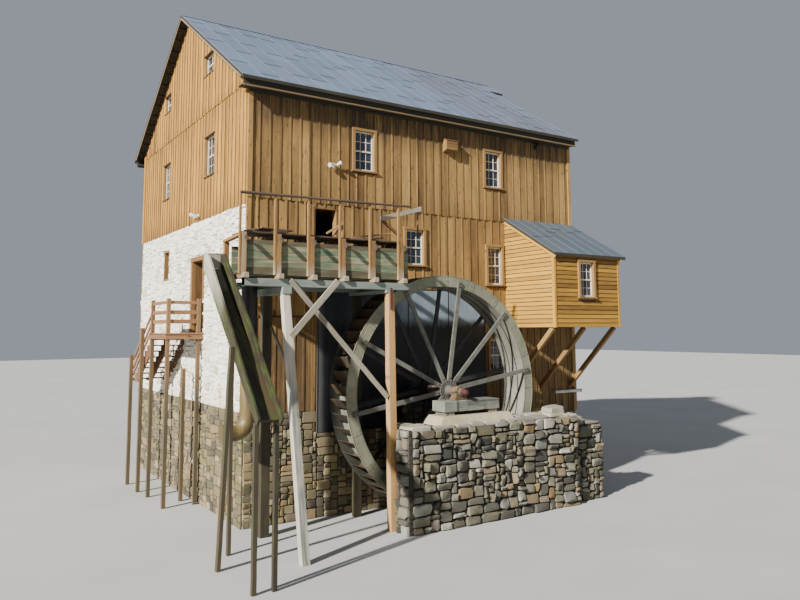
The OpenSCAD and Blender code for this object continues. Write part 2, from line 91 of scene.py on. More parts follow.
# ------------------------------------------------------------------ materials
class Mat:
    """A small writer for one node material."""

    def __init__(self, name):
        self.m = bpy.data.materials.new(name)
        self.m.use_nodes = True
        self.t = self.m.node_tree
        self.b = self.t.nodes["Principled BSDF"]

    def n(self, kind, **kw):
        x = self.t.nodes.new(kind)
        for k, v in kw.items():
            setattr(x, k, v)
        return x

    def link(self, a, b):
        self.t.links.new(a, b)

    def attr(self, name):
        return self.n("ShaderNodeAttribute", attribute_name=name)

    def obj(self):
        return self.n("ShaderNodeTexCoord").outputs["Object"]

    def mapped(self, vec, scale, loc=(0, 0, 0), rot=(0, 0, 0)):
        x = self.n("ShaderNodeMapping")
        x.inputs["Scale"].default_value = scale
        x.inputs["Location"].default_value = loc
        x.inputs["Rotation"].default_value = rot
        self.link(vec, x.inputs["Vector"])
        return x.outputs[0]

    def noise(self, vec, scale=1.0, detail=4.0, rough=0.55, dist=0.0):
        x = self.n("ShaderNodeTexNoise")
        x.inputs["Scale"].default_value = scale
        x.inputs["Detail"].default_value = detail
        x.inputs["Roughness"].default_value = rough
        x.inputs["Distortion"].default_value = dist
        self.link(vec, x.inputs["Vector"])
        return x.outputs["Fac"]

    def voro(self, vec, scale=1.0, feature="F1", rand=1.0):
        x = self.n("ShaderNodeTexVoronoi", feature=feature)
        x.inputs["Scale"].default_value = scale
        x.inputs["Randomness"].default_value = rand
        self.link(vec, x.inputs["Vector"])
        return x

    def ramp(self, fac, stops):
        x = self.n("ShaderNodeValToRGB")
        e = x.color_ramp.elements
        while len(e) < len(stops):
            e.new(0.5)
        for el, (p, c) in zip(e, stops):
            el.position = p
            el.color = (c[0], c[1], c[2], 1) if not isinstance(c, (int, float)) else (c, c, c, 1)
        self.link(fac, x.inputs[0])
        return x.outputs[0]

    def rng(self, fac, a, b, c=0.0, d=1.0):
        x = self.n("ShaderNodeMapRange")
        for i, v in enumerate((a, b, c, d)):
            x.inputs[i + 1].default_value = v
        self.link(fac, x.inputs[0])
        return x.outputs[0]

    def math(self, op, a, b=None):
        x = self.n("ShaderNodeMath", operation=op)
        for i, v in enumerate((a, b)):
            if v is None:
                continue
            if isinstance(v, (int, float)):
                x.inputs[i].default_value = v
            else:
                self.link(v, x.inputs[i])
        return x.outputs[0]

    def mix(self, fac, a, b, blend="MIX"):
        x = self.n("ShaderNodeMix", data_type="RGBA", blend_type=blend)
        for i, v in ((0, fac), (6, a), (7, b)):
            if isinstance(v, (int, float)):
                x.inputs[i].default_value = v
            elif isinstance(v, (tuple, list)):
                x.inputs[i].default_value = (v[0], v[1], v[2], 1)
            else:
                self.link(v, x.inputs[i])
        return x.outputs[2]

    def sep(self, vec):
        x = self.n("ShaderNodeSeparateXYZ")
        self.link(vec, x.inputs[0])
        return x.outputs

    def bump(self, height, strength=0.3, dist=0.01):
        x = self.n("ShaderNodeBump")
        x.inputs["Strength"].default_value = strength
        x.inputs["Distance"].default_value = dist
        self.link(height, x.inputs["Height"])
        self.link(x.outputs[0], self.b.inputs["Normal"])

    def color(self, c):
        self.link(c, self.b.inputs["Base Color"])

    def rough(self, r):
        if isinstance(r, (int, float)):
            self.b.inputs["Roughness"].default_value = r
        else:
            self.link(r, self.b.inputs["Roughness"])


def srgb(r, g, b):
    def f(x):
        x /= 255
        return x / 12.92 if x <= 0.04045 else ((x + 0.055) / 1.055) ** 2.4
    return (f(r), f(g), f(b))


def wood(name, dark, light, knot=None, rough=0.78, dirt_and_shade=None, dirt_and_shade_amt=1.0, tone_amt=0.5,
         bump=0.35, obj_scale=None, green=None, bleach=None, blotch=0.32, knot_r=0.075, full_shade_at_edges=False, speck=0.0):
    """Sawn timber: fibres, broad figure and knots run along each board's own length."""
    k = Mat(name)
    if obj_scale is None:
        gr = k.attr("gr").outputs["Vector"]
        tone = k.attr("tone").outputs["Fac"]
        aux = k.attr("aux").outputs["Fac"]
    else:
        gr = k.mapped(k.obj(), obj_scale)
        tone = k.noise(k.mapped(gr, (0.02, 3.3, 3.3)), 1.0, 0)
        aux = None
    fib = k.noise(k.mapped(gr, (1.6, 42, 42)), 1.0, 5, 0.65)
    fig = k.noise(k.mapped(gr, (0.7, 9, 9)), 1.0, 4, 0.6, 0.6)
    blot = k.noise(k.mapped(gr, (0.5, 1.4, 1.4), (3, 7, 1)), 1.0, 3)
    f = k.math("ADD", k.math("MULTIPLY", fib, 0.42), k.math("MULTIPLY", fig, 0.42))
    f = k.math("ADD", f, k.math("MULTIPLY", k.math("SUBTRACT", tone, 0.5), tone_amt))
    f = k.math("ADD", f, k.math("MULTIPLY", k.math("SUBTRACT", blot, 0.5), blotch))
    col = k.ramp(k.rng(f, 0.12, 0.74), [(0.0, dark), (1.0, light)])
    if knot:
        v = k.voro(k.mapped(gr, (1.5, 5.2, 0.01)), 1.0).outputs["Distance"]
        col = k.mix(k.rng(v, knot_r * 0.45, knot_r, 0.9, 0.0), col, knot)
    if speck:
        sp = k.noise(k.mapped(gr, (5, 26, 26), (2, 6, 3)), 1, 3, 0.6)
        col = k.mix(k.rng(sp, 0.60, 0.70, 0, speck), col, knot)
    if bleach:
        col = k.mix(k.rng(k.noise(k.mapped(gr, (0.9, 12, 12), (9, 2, 5)), 1, 4), 0.52, 0.72, 0, 0.7), col, bleach)
    if green:
        col = k.mix(k.rng(k.noise(k.mapped(gr, (2.2, 7, 7), (1, 4, 8)), 1, 4), 0.47, 0.66, 0, 0.8), col, green)
    # The aux mask mixes in this colour: real dirt and stains on some timbers, painted shade on others (batten sides,
    # clapboard butts, under the bay, partly under the eave, the trestle leg).
    if dirt_and_shade is not None and aux is not None:
        s = k.noise(k.mapped(gr, (1.1, 16, 16), (5, 5, 5)), 1, 4)
        a = k.math("MULTIPLY", aux, k.rng(s, 0.3, 0.65, 0.35, 1.0))
        # Where aux is full, as on batten sides and under clapboard butts, this colour goes in fully: painted shade.
        if full_shade_at_edges:
            a = k.math("MAXIMUM", a, k.rng(aux, 0.96, 1.0))
        col = k.mix(k.math("MULTIPLY", a, dirt_and_shade_amt), col, dirt_and_shade)
    k.color(col)
    k.rough(k.rng(fib, 0.2, 0.8, rough + 0.08, rough - 0.1))
    k.bump(k.math("ADD", fib, k.math("MULTIPLY", fig, 0.5)), bump, 0.006)
    return k.m


def stone(name, ramp, joint, rough=0.9, big=2.2, fine=26, stain=None, bump=0.5, stain_z=None, gapc=None, dist=0.012,
          dark=0.62, cracks_and_shade_lines=None):
    k = Mat(name)
    o = k.obj()
    tone = k.attr("tone").outputs["Fac"]
    aux = k.attr("aux").outputs["Fac"]
    col = k.ramp(tone, ramp)
    n1 = k.noise(o, big, 5, 0.6)
    n2 = k.noise(o, fine, 5, 0.65)
    col = k.mix(k.rng(n1, 0.3, 0.7, 0, 0.35), col, joint, "MIX")
    col = k.mix(0.55, col, k.ramp(n2, [(0.25, dark), (0.75, 1.0)]), "MULTIPLY")
    if stain:
        s = k.noise(k.mapped(o, (1.3, 1.3, 2.0), (4, 2, 9)), 1.0, 5, 0.6)
        f = k.rng(s, 0.5, 0.68, 0, 0.85)
        if stain_z:
            z = k.sep(o)[2]
            f = k.math("MULTIPLY", f, k.rng(z, stain_z[0], stain_z[1], 1.0, 0.08))
        col = k.mix(f, col, stain)
    # Thin horizontal dark strokes: partly cracks, partly painted shade lines under the stones.
    if cracks_and_shade_lines:
        c = k.noise(k.mapped(o, (3.2, 3.2, 17), (6, 1, 3)), 1.0, 4, 0.6)
        col = k.mix(k.rng(c, 0.585, 0.66, 0, 0.75), col, cracks_and_shade_lines)
    col = k.mix(k.rng(aux, 0.2, 1.0, 0, 0.95), col, gapc or joint)
    k.color(col)
    k.rough(rough)
    k.bump(k.math("ADD", k.math("MULTIPLY", n1, 0.6), n2), bump, dist)
    return k.m


M = {}
M["side"] = wood("siding_wood", srgb(84, 58, 26), srgb(176, 138, 78), srgb(54, 36, 20), dirt_and_shade=srgb(30, 28, 18), tone_amt=0.42, full_shade_at_edges=True, speck=0.85, knot_r=0.105, blotch=0.5)
# The left gable's boards have their own copy of the siding colour, lighter and yellower than the front's: painted
# light, the gable facing the light.
M["gable"] = wood("siding_gable_wood", srgb(106, 70, 20), srgb(194, 144, 62), srgb(70, 44, 18), dirt_and_shade=srgb(44, 32, 14), tone_amt=0.36, full_shade_at_edges=True, speck=0.75, knot_r=0.1, blotch=0.42)
M["trim"] = wood("trim_wood", srgb(84, 60, 30), srgb(156, 120, 68), srgb(62, 42, 22), dirt_and_shade=srgb(48, 40, 26), tone_amt=0.4)
M["eave"] = wood("eave_wood", srgb(30, 29, 20), srgb(66, 62, 44), srgb(26, 24, 16), dirt_and_shade=srgb(30, 30, 20), tone_amt=0.75)
M["bay"] = wood("bay_wood", srgb(104, 72, 18), srgb(184, 138, 48), srgb(80, 52, 22), dirt_and_shade=srgb(34, 24, 12), tone_amt=0.55, bump=0.25, knot_r=0.05, full_shade_at_edges=True, speck=0.3)
M["red"] = wood("deck_wood", srgb(74, 50, 30), srgb(138, 100, 66), srgb(62, 36, 24), dirt_and_shade=srgb(120, 108, 92), tone_amt=0.45, knot_r=0.11)
M["post"] = wood("landing_post_wood", srgb(70, 52, 33), srgb(128, 100, 66), srgb(62, 46, 34), dirt_and_shade=srgb(66, 62, 44), tone_amt=0.4)
M["new"] = wood("yoke_wood", srgb(74, 52, 26), srgb(150, 114, 66), srgb(50, 32, 18), dirt_and_shade=srgb(176, 170, 152), tone_amt=0.4, knot_r=0.1, speck=0.5, blotch=0.55)
M["grey"] = wood("weathered_wood", srgb(74, 68, 56), srgb(156, 148, 131), srgb(56, 50, 41), rough=0.85, dirt_and_shade=srgb(64, 84, 78), tone_amt=0.4, knot_r=0.1, speck=0.6, blotch=0.6)
M["pale"] = wood("bleached_wood", srgb(98, 90, 74), srgb(200, 193, 178), srgb(70, 60, 46), rough=0.85, dirt_and_shade=srgb(52, 66, 62), tone_amt=0.3, knot_r=0.1, blotch=0.75)
M["orange"] = wood("new_post_wood", srgb(108, 68, 30), srgb(184, 137, 78), srgb(66, 38, 20), dirt_and_shade=srgb(168, 152, 118), tone_amt=0.35, knot_r=0.12, speck=0.6, blotch=0.6)
M["flume"] = wood("flume_wood", srgb(62, 60, 44), srgb(134, 130, 100), srgb(56, 44, 30), rough=0.8,
                  dirt_and_shade=srgb(70, 55, 37), green=srgb(52, 96, 74), bleach=srgb(150, 166, 138), tone_amt=0.6)
M["edge"] = wood("edge_wood", srgb(92, 72, 48), srgb(148, 124, 90), srgb(70, 56, 40), dirt_and_shade=srgb(60, 52, 38), tone_amt=0.4)
M["sill"] = wood("sill_wood", srgb(88, 90, 80), srgb(146, 148, 138), srgb(40, 34, 30), rough=0.85, dirt_and_shade=srgb(38, 36, 32), tone_amt=0.3, blotch=0.8, speck=0.9, knot_r=0.1)
M["stringer"] = wood("stringer_wood", srgb(58, 66, 61), srgb(130, 140, 132), srgb(54, 50, 42), rough=0.85, dirt_and_shade=srgb(60, 74, 68), tone_amt=0.4, knot_r=0.1)
M["walk"] = wood("walk_wood", srgb(46, 36, 28), srgb(104, 86, 68), srgb(34, 26, 20), rough=0.85, dirt_and_shade=srgb(172, 132, 86), tone_amt=0.5)
M["moss"] = wood("mossy_wood", srgb(26, 21, 11), srgb(66, 54, 30), srgb(18, 15, 8), rough=0.7,
                 dirt_and_shade=srgb(176, 172, 158), green=srgb(52, 70, 16), tone_amt=0.4)
# Near-black wet, mossy wood for the chute legs; on the trestle's back posts it stands as painted shade.
M["legdark"] = wood("wet_and_shaded_wood", srgb(30, 25, 15), srgb(70, 59, 40), srgb(20, 17, 10), rough=0.75, green=srgb(50, 56, 26), tone_amt=0.5)
M["door"] = wood("door_wood", srgb(74, 50, 32), srgb(132, 92, 60), srgb(50, 32, 20), tone_amt=0.5)
M["floor"] = wood("floor_wood", srgb(110, 82, 54), srgb(168, 130, 88), None, obj_scale=(1, 1, 1))
M["inner"] = wood("wall_wood", srgb(84, 56, 32), srgb(140, 98, 58), None, obj_scale=(1, 1, 1))
M["white"] = wood("sash_paint", srgb(188, 176, 144), srgb(220, 210, 184), None, rough=0.5, dirt_and_shade=srgb(150, 140, 118), tone_amt=0.2, bump=0.12)


def metal_roof(name, base, alt, brown):
    k = Mat(name)
    gr = k.attr("gr").outputs["Vector"]
    tone = k.attr("tone").outputs["Fac"]
    aux = k.attr("aux").outputs["Fac"]
    o = k.obj()
    streak = k.noise(k.mapped(gr, (0.35, 7, 7)), 1, 5, 0.6)
    blot = k.noise(k.mapped(o, (0.5, 0.5, 0.5)), 1, 4, 0.6)
    fine = k.noise(o, 30, 4)
    col = k.mix(k.rng(tone, 0, 1, 0.0, 0.8), base, alt)
    col = k.mix(k.rng(streak, 0.42, 0.72, 0, 0.35), col, brown)
    col = k.mix(k.math("MULTIPLY", aux, k.rng(streak, 0.3, 0.6, 0.45, 1.0)), col, brown)
    col = k.mix(k.rng(blot, 0.4, 0.7, 0, 0.25), col, alt)
    col = k.mix(0.3, col, k.ramp(fine, [(0.3, 0.75), (0.7, 1.0)]), "MULTIPLY")
    k.color(col)
    k.b.inputs["Metallic"].default_value = 0.25
    k.rough(k.rng(blot, 0.3, 0.7, 0.42, 0.6))
    k.bump(k.math("ADD", blot, k.math("MULTIPLY", fine, 0.05)), 0.25, 0.02)
    return k.m


M["roof"] = metal_roof("roof_sheet", srgb(94, 109, 131), srgb(115, 130, 152), srgb(98, 93, 100))
M["bayroof"] = metal_roof("bay_roof_sheet", srgb(74, 85, 95), srgb(92, 103, 112), srgb(72, 78, 84))


def steel(name, base, light, rust, rough=0.6, rust_amt=0.5, metallic=0.35, rear_shade=0.0):
    k = Mat(name)
    o = k.obj()
    a = k.noise(k.mapped(o, (1.2, 1.2, 1.2)), 1.0, 5, 0.6)
    b = k.noise(o, 9, 5, 0.65)
    c = k.noise(o, 60, 3, 0.6)
    col = k.mix(k.rng(a, 0.32, 0.68), base, light)
    col = k.mix(k.rng(b, 0.5, 0.72, 0, rust_amt), col, rust)
    # Parts towards the back of the wheel are painted near black: painted shade.
    if rear_shade:
        col = k.mix(k.rng(k.sep(o)[1], -4.75, -4.45, 0.0, rear_shade), col, srgb(24, 26, 24))
    col = k.mix(0.35, col, k.ramp(c, [(0.3, 0.72), (0.7, 1.0)]), "MULTIPLY")
    k.color(col)
    k.b.inputs["Metallic"].default_value = metallic
    k.rough(k.rng(b, 0.3, 0.7, rough - 0.08, rough + 0.15))
    k.bump(k.math("ADD", b, k.math("MULTIPLY", c, 0.4)), 0.22, 0.006)
    return k.m


def spoke_mat():
    """Spokes: bare grey plate in front; the set behind is painted nearly black, painted shade inside the wheel."""
    k = Mat("spoke_plate")
    o = k.obj()
    a = k.noise(k.mapped(o, (1.2, 1.2, 1.2)), 1.0, 5, 0.6)
    b = k.noise(o, 9, 5, 0.65)
    c = k.noise(o, 60, 3, 0.6)
    col = k.mix(k.rng(a, 0.32, 0.68), srgb(76, 76, 70), srgb(108, 107, 99))
    col = k.mix(k.rng(b, 0.5, 0.72, 0, 0.5), col, srgb(62, 54, 42))
    y = k.sep(o)[1]
    # Spokes towards the back of the wheel are painted nearly black: painted shade.
    rear_shade = k.rng(k.math("ADD", y, k.math("MULTIPLY", k.math("SUBTRACT", b, 0.5), 0.2)), -4.75, -4.45, 0.0, 0.86)
    col = k.mix(rear_shade, col, srgb(22, 25, 28))
    col = k.mix(0.35, col, k.ramp(c, [(0.3, 0.72), (0.7, 1.0)]), "MULTIPLY")
    k.color(col)
    k.rough(k.rng(b, 0.3, 0.7, 0.6, 0.82))
    k.bump(k.math("ADD", b, k.math("MULTIPLY", c, 0.4)), 0.22, 0.006)
    return k.m


# The back ring is painted dark: painted shade inside the wheel.
M["wheel"] = steel("wheel_plate", srgb(106, 107, 89), srgb(137, 138, 118), srgb(92, 84, 63), 0.66, 0.45, 0.1, rear_shade=0.8)
M["spoke"] = spoke_mat()
M["sole"] = steel("sole_plate", srgb(100, 100, 90), srgb(136, 134, 123), srgb(86, 78, 60), 0.7, 0.5, 0.08)
# Buckets are dark overall: partly their own wet finish, partly painted shade where the wheel sits low in its pit.
M["bucket"] = steel("bucket_plate", srgb(40, 33, 23), srgb(78, 64, 44), srgb(50, 34, 22), 0.74, 0.6, 0.1)
M["bolt"] = steel("bolt_steel", srgb(60, 54, 46), srgb(96, 88, 76), srgb(66, 46, 32), 0.55, 0.6, 0.4)
M["rust"] = steel("rusted_iron", srgb(84, 62, 50), srgb(120, 98, 80), srgb(74, 44, 30), 0.75, 0.7, 0.2)
M["hubgrey"] = steel("hub_casting_grey", srgb(64, 62, 57), srgb(104, 101, 94), srgb(62, 50, 40), 0.7, 0.6, 0.15)
M["ochre"] = steel("bearing_casting", srgb(70, 54, 36), srgb(120, 100, 72), srgb(60, 38, 22), 0.75, 0.8, 0.1)
M["shaft"] = steel("shaft_metal", srgb(78, 66, 62), srgb(112, 98, 92), srgb(60, 44, 36), 0.6, 0.6, 0.2)
M["redend"] = steel("red_oxide", srgb(66, 28, 25), srgb(88, 44, 39), srgb(58, 34, 28), 0.65, 0.6, 0.1)
M["pipe"] = steel("black_pipe", srgb(34, 33, 32), srgb(56, 53, 49), srgb(74, 58, 42), 0.5, 0.5, 0.3)
M["panel"] = steel("splash_sheet", srgb(66, 76, 88), srgb(92, 104, 118), srgb(70, 72, 74), 0.42, 0.4, 0.35)
M["lamp"] = steel("lamp_metal", srgb(186, 186, 182), srgb(220, 220, 216), srgb(140, 134, 124), 0.45, 0.3, 0.1)
M["iron"] = steel("dark_iron", srgb(30, 28, 26), srgb(50, 46, 42), srgb(64, 44, 32), 0.6, 0.6, 0.4)

M["lime"] = stone("limewashed_stone",
                  [(0.0, srgb(190, 182, 162)), (0.14, srgb(228, 222, 208)), (0.4, srgb(240, 236, 226)), (1.0, srgb(247, 245, 238))],
                  srgb(198, 188, 166), stain=srgb(208, 180, 128), stain_z=(2.7, 4.4), bump=0.8, gapc=srgb(120, 111, 94), dist=0.022,
                  dark=0.86, cracks_and_shade_lines=srgb(158, 146, 122))
M["rubble"] = stone("rubble_stone",
                    [(0.0, srgb(54, 54, 50)), (0.22, srgb(80, 78, 70)), (0.44, srgb(104, 100, 86)), (0.62, srgb(120, 116, 100)),
                     (0.74, srgb(132, 106, 68)), (0.82, srgb(112, 112, 106)), (1.0, srgb(168, 166, 152))],
                    srgb(64, 58, 48), stain=srgb(92, 88, 58), bump=0.8, dist=0.02)
M["cap"] = stone("cap_stone",
                 [(0.0, srgb(122, 118, 108)), (0.5, srgb(150, 145, 132)), (1.0, srgb(178, 171, 156))],
                 srgb(104, 98, 86), stain=srgb(120, 112, 86), bump=0.6)
M["footing"] = stone("footing_stone",
                     [(0.0, srgb(72, 66, 54)), (0.35, srgb(104, 94, 76)), (0.65, srgb(130, 116, 88)),
                      (0.85, srgb(146, 124, 84)), (1.0, srgb(160, 148, 120))],
                     srgb(66, 58, 44), stain=srgb(84, 84, 48), bump=0.6)


def concrete():
    k = Mat("concrete")
    o = k.obj()
    a = k.noise(o, 1.6, 5, 0.6)
    b = k.noise(o, 14, 5, 0.7)
    c = k.voro(o, 38).outputs["Distance"]
    col = k.mix(k.rng(a, 0.3, 0.7), srgb(146, 136, 108), srgb(176, 166, 138))
    col = k.mix(k.rng(b, 0.45, 0.7, 0, 0.5), col, srgb(112, 103, 78))
    k.color(col)
    k.rough(0.92)
    k.bump(k.math("ADD", b, k.math("MULTIPLY", c, 0.3)), 0.5, 0.01)
    return k.m


M["concrete"] = concrete()


def glass():
    k = Mat("window_glass")
    o = k.obj()
    a = k.noise(k.mapped(o, (2.4, 2.4, 2.4)), 1, 2)
    b = k.noise(o, 7, 3)
    col = k.mix(k.rng(a, 0.35, 0.65), srgb(22, 28, 44), srgb(44, 54, 74))
    k.color(col)
    k.rough(k.rng(b, 0.3, 0.7, 0.05, 0.14))
    k.b.inputs["Specular IOR Level"].default_value = 0.7
    k.bump(a, 0.08, 0.01)
    return k.m


M["glass"] = glass()


def floor_mat():
    k = Mat("studio_floor")
    o = k.obj()
    a = k.noise(o, 0.35, 4, 0.5)
    b = k.noise(o, 24, 3, 0.6)
    k.color(k.mix(k.rng(a, 0.3, 0.7), (0.355, 0.355, 0.35), (0.395, 0.395, 0.385)))
    k.rough(0.9)
    k.bump(b, 0.05, 0.004)
    return k.m


# ------------------------------------------------------------------ mesh writing
class Geo:
    def __init__(self, seed=1):
        self.v, self.f, self.g, self.t, self.a = [], [], [], [], []
        self.r = random.Random(seed)

    def put(self, vs, fs, gs, tone, aux=0.0):
        b = len(self.v)
        self.v.extend(vs)
        self.f.extend([tuple(b + i for i in f) for f in fs])
        self.g.extend(gs)
        self.t.extend([tone] * len(vs) if isinstance(tone, (int, float)) else tone)
        if callable(aux):
            self.a.extend([aux(*p) for p in vs])
        else:
            self.a.extend([aux] * len(vs) if isinstance(aux, (int, float)) else aux)


PIECES = {}


def make(g, name, mat, body="house", repl=(), smooth=None, recalc=True):
    me = bpy.data.meshes.new(name)
    v = np.array(g.v, float).reshape(-1, 3) - np.array([CX, CY, 0.0])
    me.from_pydata(v.tolist(), [], g.f)
    if recalc:
        bm = bmesh.new()
        bm.from_mesh(me)
        bmesh.ops.recalc_face_normals(bm, faces=bm.faces)
        bm.to_mesh(me)
        bm.free()
    for nm, kind, data in (("gr", "FLOAT_VECTOR", g.g), ("tone", "FLOAT", g.t), ("aux", "FLOAT", g.a)):
        at = me.attributes.new(nm, kind, "POINT")
        arr = np.array(data, np.float32).ravel()
        at.data.foreach_set("vector" if kind == "FLOAT_VECTOR" else "value", arr)
    if smooth is not None:
        me.shade_smooth()
        me.set_sharp_from_angle(angle=math.radians(smooth))
    ob = bpy.data.objects.new(name, me)
    bpy.context.scene.collection.objects.link(ob)
    me.materials.append(mat)
    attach(ob, body)
    if repl:
        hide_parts(*repl)
    PIECES[name] = len(me.polygons)
    return ob


def beam(g, p0, p1, w, h, up=(0, 0, 1), ch=0.005, n=3, jit=0.0015, tone=None, aux=0.0, taper=1.0):
    """A timber from p0 to p1 with chamfered, slightly uneven arrises. w is across `up`, h along it."""
    p0, p1, up = Vector(p0), Vector(p1), Vector(up)
    d = p1 - p0
    ln = d.length
    d = d / ln
    s = d.cross(up)
    if s.length < 1e-5:
        s = d.orthogonal()
    s.normalize()
    u = s.cross(d)
    hw, hh = w / 2, h / 2
    c = min(ch, hw * 0.45, hh * 0.45)
    sec = [(-hw + c, -hh), (hw - c, -hh), (hw, -hh + c), (hw, hh - c), (hw - c, hh), (-hw + c, hh), (-hw, hh - c), (-hw, -hh + c)]
    st = [0.0, c] + [c + (ln - 2 * c) * (i + 1) / (n + 1) for i in range(n)] + [ln - c, ln]
    r = g.r
    ox, oy, oz = r.uniform(0, 40), r.uniform(0, 40), r.uniform(0, 40)
    if tone is None:
        tone = r.random()
    vs, gs = [], []
    m = len(st)
    for i, x in enumerate(st):
        end = i in (0, m - 1)
        k = 1.0 + (taper - 1.0) * x / ln
        ja, jb = (0, 0) if i < 2 or i > m - 3 else (r.uniform(-jit, jit), r.uniform(-jit, jit))
        for (a, b) in sec:
            a, b = a * k, b * k
            if end:
                a, b = a * (hw - c) / hw, b * (hh - c) / hh
            elif 1 < i < m - 2:
                a += ja + r.uniform(-jit, jit) * 0.6
                b += jb + r.uniform(-jit, jit) * 0.6
            q = p0 + d * x + s * a + u * b
            vs.append((q.x, q.y, q.z))
            gs.append((ox + x, oy + a, oz + b))
    fs = [tuple(range(8)), tuple(range((m - 1) * 8, m * 8))]
    for i in range(m - 1):
        for j in range(8):
            fs.append((i * 8 + j, i * 8 + (j + 1) % 8, (i + 1) * 8 + (j + 1) % 8, (i + 1) * 8 + j))
    g.put(vs, fs, gs, tone, aux)


def tb(g, x0, x1, y0, y1, z0, z1, **kw):
    """A timber filling a box given in millimetres, its grain along the longest side."""
    a = [x0 / 1000, y0 / 1000, z0 / 1000]
    b = [x1 / 1000, y1 / 1000, z1 / 1000]
    s = [b[i] - a[i] for i in range(3)]
    ax = kw.pop("axis", None)
    if ax is None:
        ax = s.index(max(s))
    mid = [(a[i] + b[i]) / 2 for i in range(3)]
    p0, p1 = list(mid), list(mid)
    p0[ax], p1[ax] = a[ax], b[ax]
    if ax == 2:
        beam(g, p0, p1, s[0], s[1], up=(0, 1, 0), **kw)
    elif ax == 0:
        beam(g, p0, p1, s[1], s[2], up=(0, 0, 1), **kw)
    else:
        beam(g, p0, p1, s[0], s[2], up=(0, 0, 1), **kw)


def bary(g, y0, y1, a, b, w, **kw):
    """A slanted timber in an XZ plane, millimetres, w deep in the plane."""
    ym = (y0 + y1) / 2000
    beam(g, (a[0] / 1000, ym, a[1] / 1000), (b[0] / 1000, ym, b[1] / 1000), (y1 - y0) / 1000, w / 1000,
         up=Vector((0, -1, 0)).cross(Vector((b[0] - a[0], 0, b[1] - a[1])).normalized()), **kw)


def barx(g, x0, x1, a, b, w, **kw):
    """A slanted timber in a YZ plane, millimetres."""
    xm = (x0 + x1) / 2000
    beam(g, (xm, a[0] / 1000, a[1] / 1000), (xm, b[0] / 1000, b[1] / 1000), (x1 - x0) / 1000, w / 1000,
         up=Vector((1, 0, 0)).cross(Vector((0, b[0] - a[0], b[1] - a[1])).normalized()), **kw)


def loft(g, rings, tone=None, aux=0.0):
    """A closed skin over rings of equal length; the grain follows the rings' centres."""
    r = g.r
    if tone is None:
        tone = r.random()
    o = [r.uniform(0, 40) for _ in range(3)]
    m, c0, run = len(rings[0]), None, 0.0
    vs, gs = [], []
    for ring in rings:
        q = [Vector(p) for p in ring]
        c = sum(q, Vector()) / m
        run += 0 if c0 is None else (c - c0).length
        c0 = c
        e1 = (q[1] - q[0]).normalized()
        nn = Vector()
        for i in range(m):
            nn += (q[i] - c).cross(q[(i + 1) % m] - c)
        e2 = nn.cross(e1).normalized() if nn.length > 1e-12 else e1.orthogonal()
        for p in q:
            vs.append((p.x, p.y, p.z))
            gs.append((o[0] + run, o[1] + (p - c).dot(e1), o[2] + (p - c).dot(e2)))
    k = len(rings)
    fs = [tuple(range(m)), tuple(range((k - 1) * m, k * m))]
    for i in range(k - 1):
        for j in range(m):
            fs.append((i * m + j, i * m + (j + 1) % m, (i + 1) * m + (j + 1) % m, (i + 1) * m + j))
    g.put(vs, fs, gs, tone, aux)


def post(g, foot, head, z0, z1, n=12, ch=6, jit=2.5, tone=None, aux=0.0):
    """A timber cut level at both ends: (x0, x1, y0, y1) at its foot and at its head, millimetres."""
    rings = []
    for i in range(n + 1):
        t = i / n
        x0, x1, y0, y1 = [a + (b - a) * t for a, b in zip(foot, head)]
        j = [0.0] * 4 if i in (0, n) else [g.r.uniform(-jit, jit) for _ in range(4)]
        x0, x1, y0, y1 = x0 + j[0], x1 + j[1], y0 + j[2], y1 + j[3]
        z = z0 + (z1 - z0) * t
        sec = [(x0 + ch, y0), (x1 - ch, y0), (x1, y0 + ch), (x1, y1 - ch), (x1 - ch, y1), (x0 + ch, y1), (x0, y1 - ch), (x0, y0 + ch)]
        rings.append([(a / 1000, b / 1000, z / 1000) for a, b in sec])
    loft(g, rings, tone, aux)


def slab(g, pts, axis, a, b, tone=None, aux=0.0, scale=0.001):
    """A flat polygon given in millimetres, cut out of a board between a and b along `axis`."""
    r = g.r
    tone = r.random() if tone is None else tone
    o = [r.uniform(0, 40) for _ in range(3)]
    vs, gs = [], []
    lay = {"x": lambda p, d: (d, p[0], p[1]), "y": lambda p, d: (p[0], d, p[1]), "z": lambda p, d: (p[0], p[1], d)}[axis]
    n = len(pts)
    for d in (a, b):
        for p in pts:
            q = lay(p, d)
            vs.append(tuple(v * scale for v in q))
            gs.append((o[0] + p[0] * scale, o[1] + p[1] * scale, o[2] + d * scale))
    fs = [tuple(range(n)), tuple(range(n, 2 * n))] + [(i, (i + 1) % n, n + (i + 1) % n, n + i) for i in range(n)]
    g.put(vs, fs, gs, tone, aux)


# walls: (along, height, out) to a point
def wf(u, z, d):
    return (u, -d, z)


def wk(u, z, d):
    return (u, W + d, z)


def wl(u, z, d):
    return (-d, u, z)


def wr(u, z, d):
    return (L + d, u, z)


def wbox(g, wall, u0, u1, z0, z1, d0, d1, grain="z", **kw):
    n = Vector(wall(0, 0, 1)) - Vector(wall(0, 0, 0))
    dm = (d0 + d1) / 2
    if grain == "z":
        beam(g, wall((u0 + u1) / 2, z0, dm), wall((u0 + u1) / 2, z1, dm), u1 - u0, d1 - d0, up=n, **kw)
    else:
        beam(g, wall(u0, (z0 + z1) / 2, dm), wall(u1, (z0 + z1) / 2, dm), z1 - z0, d1 - d0, up=n, **kw)


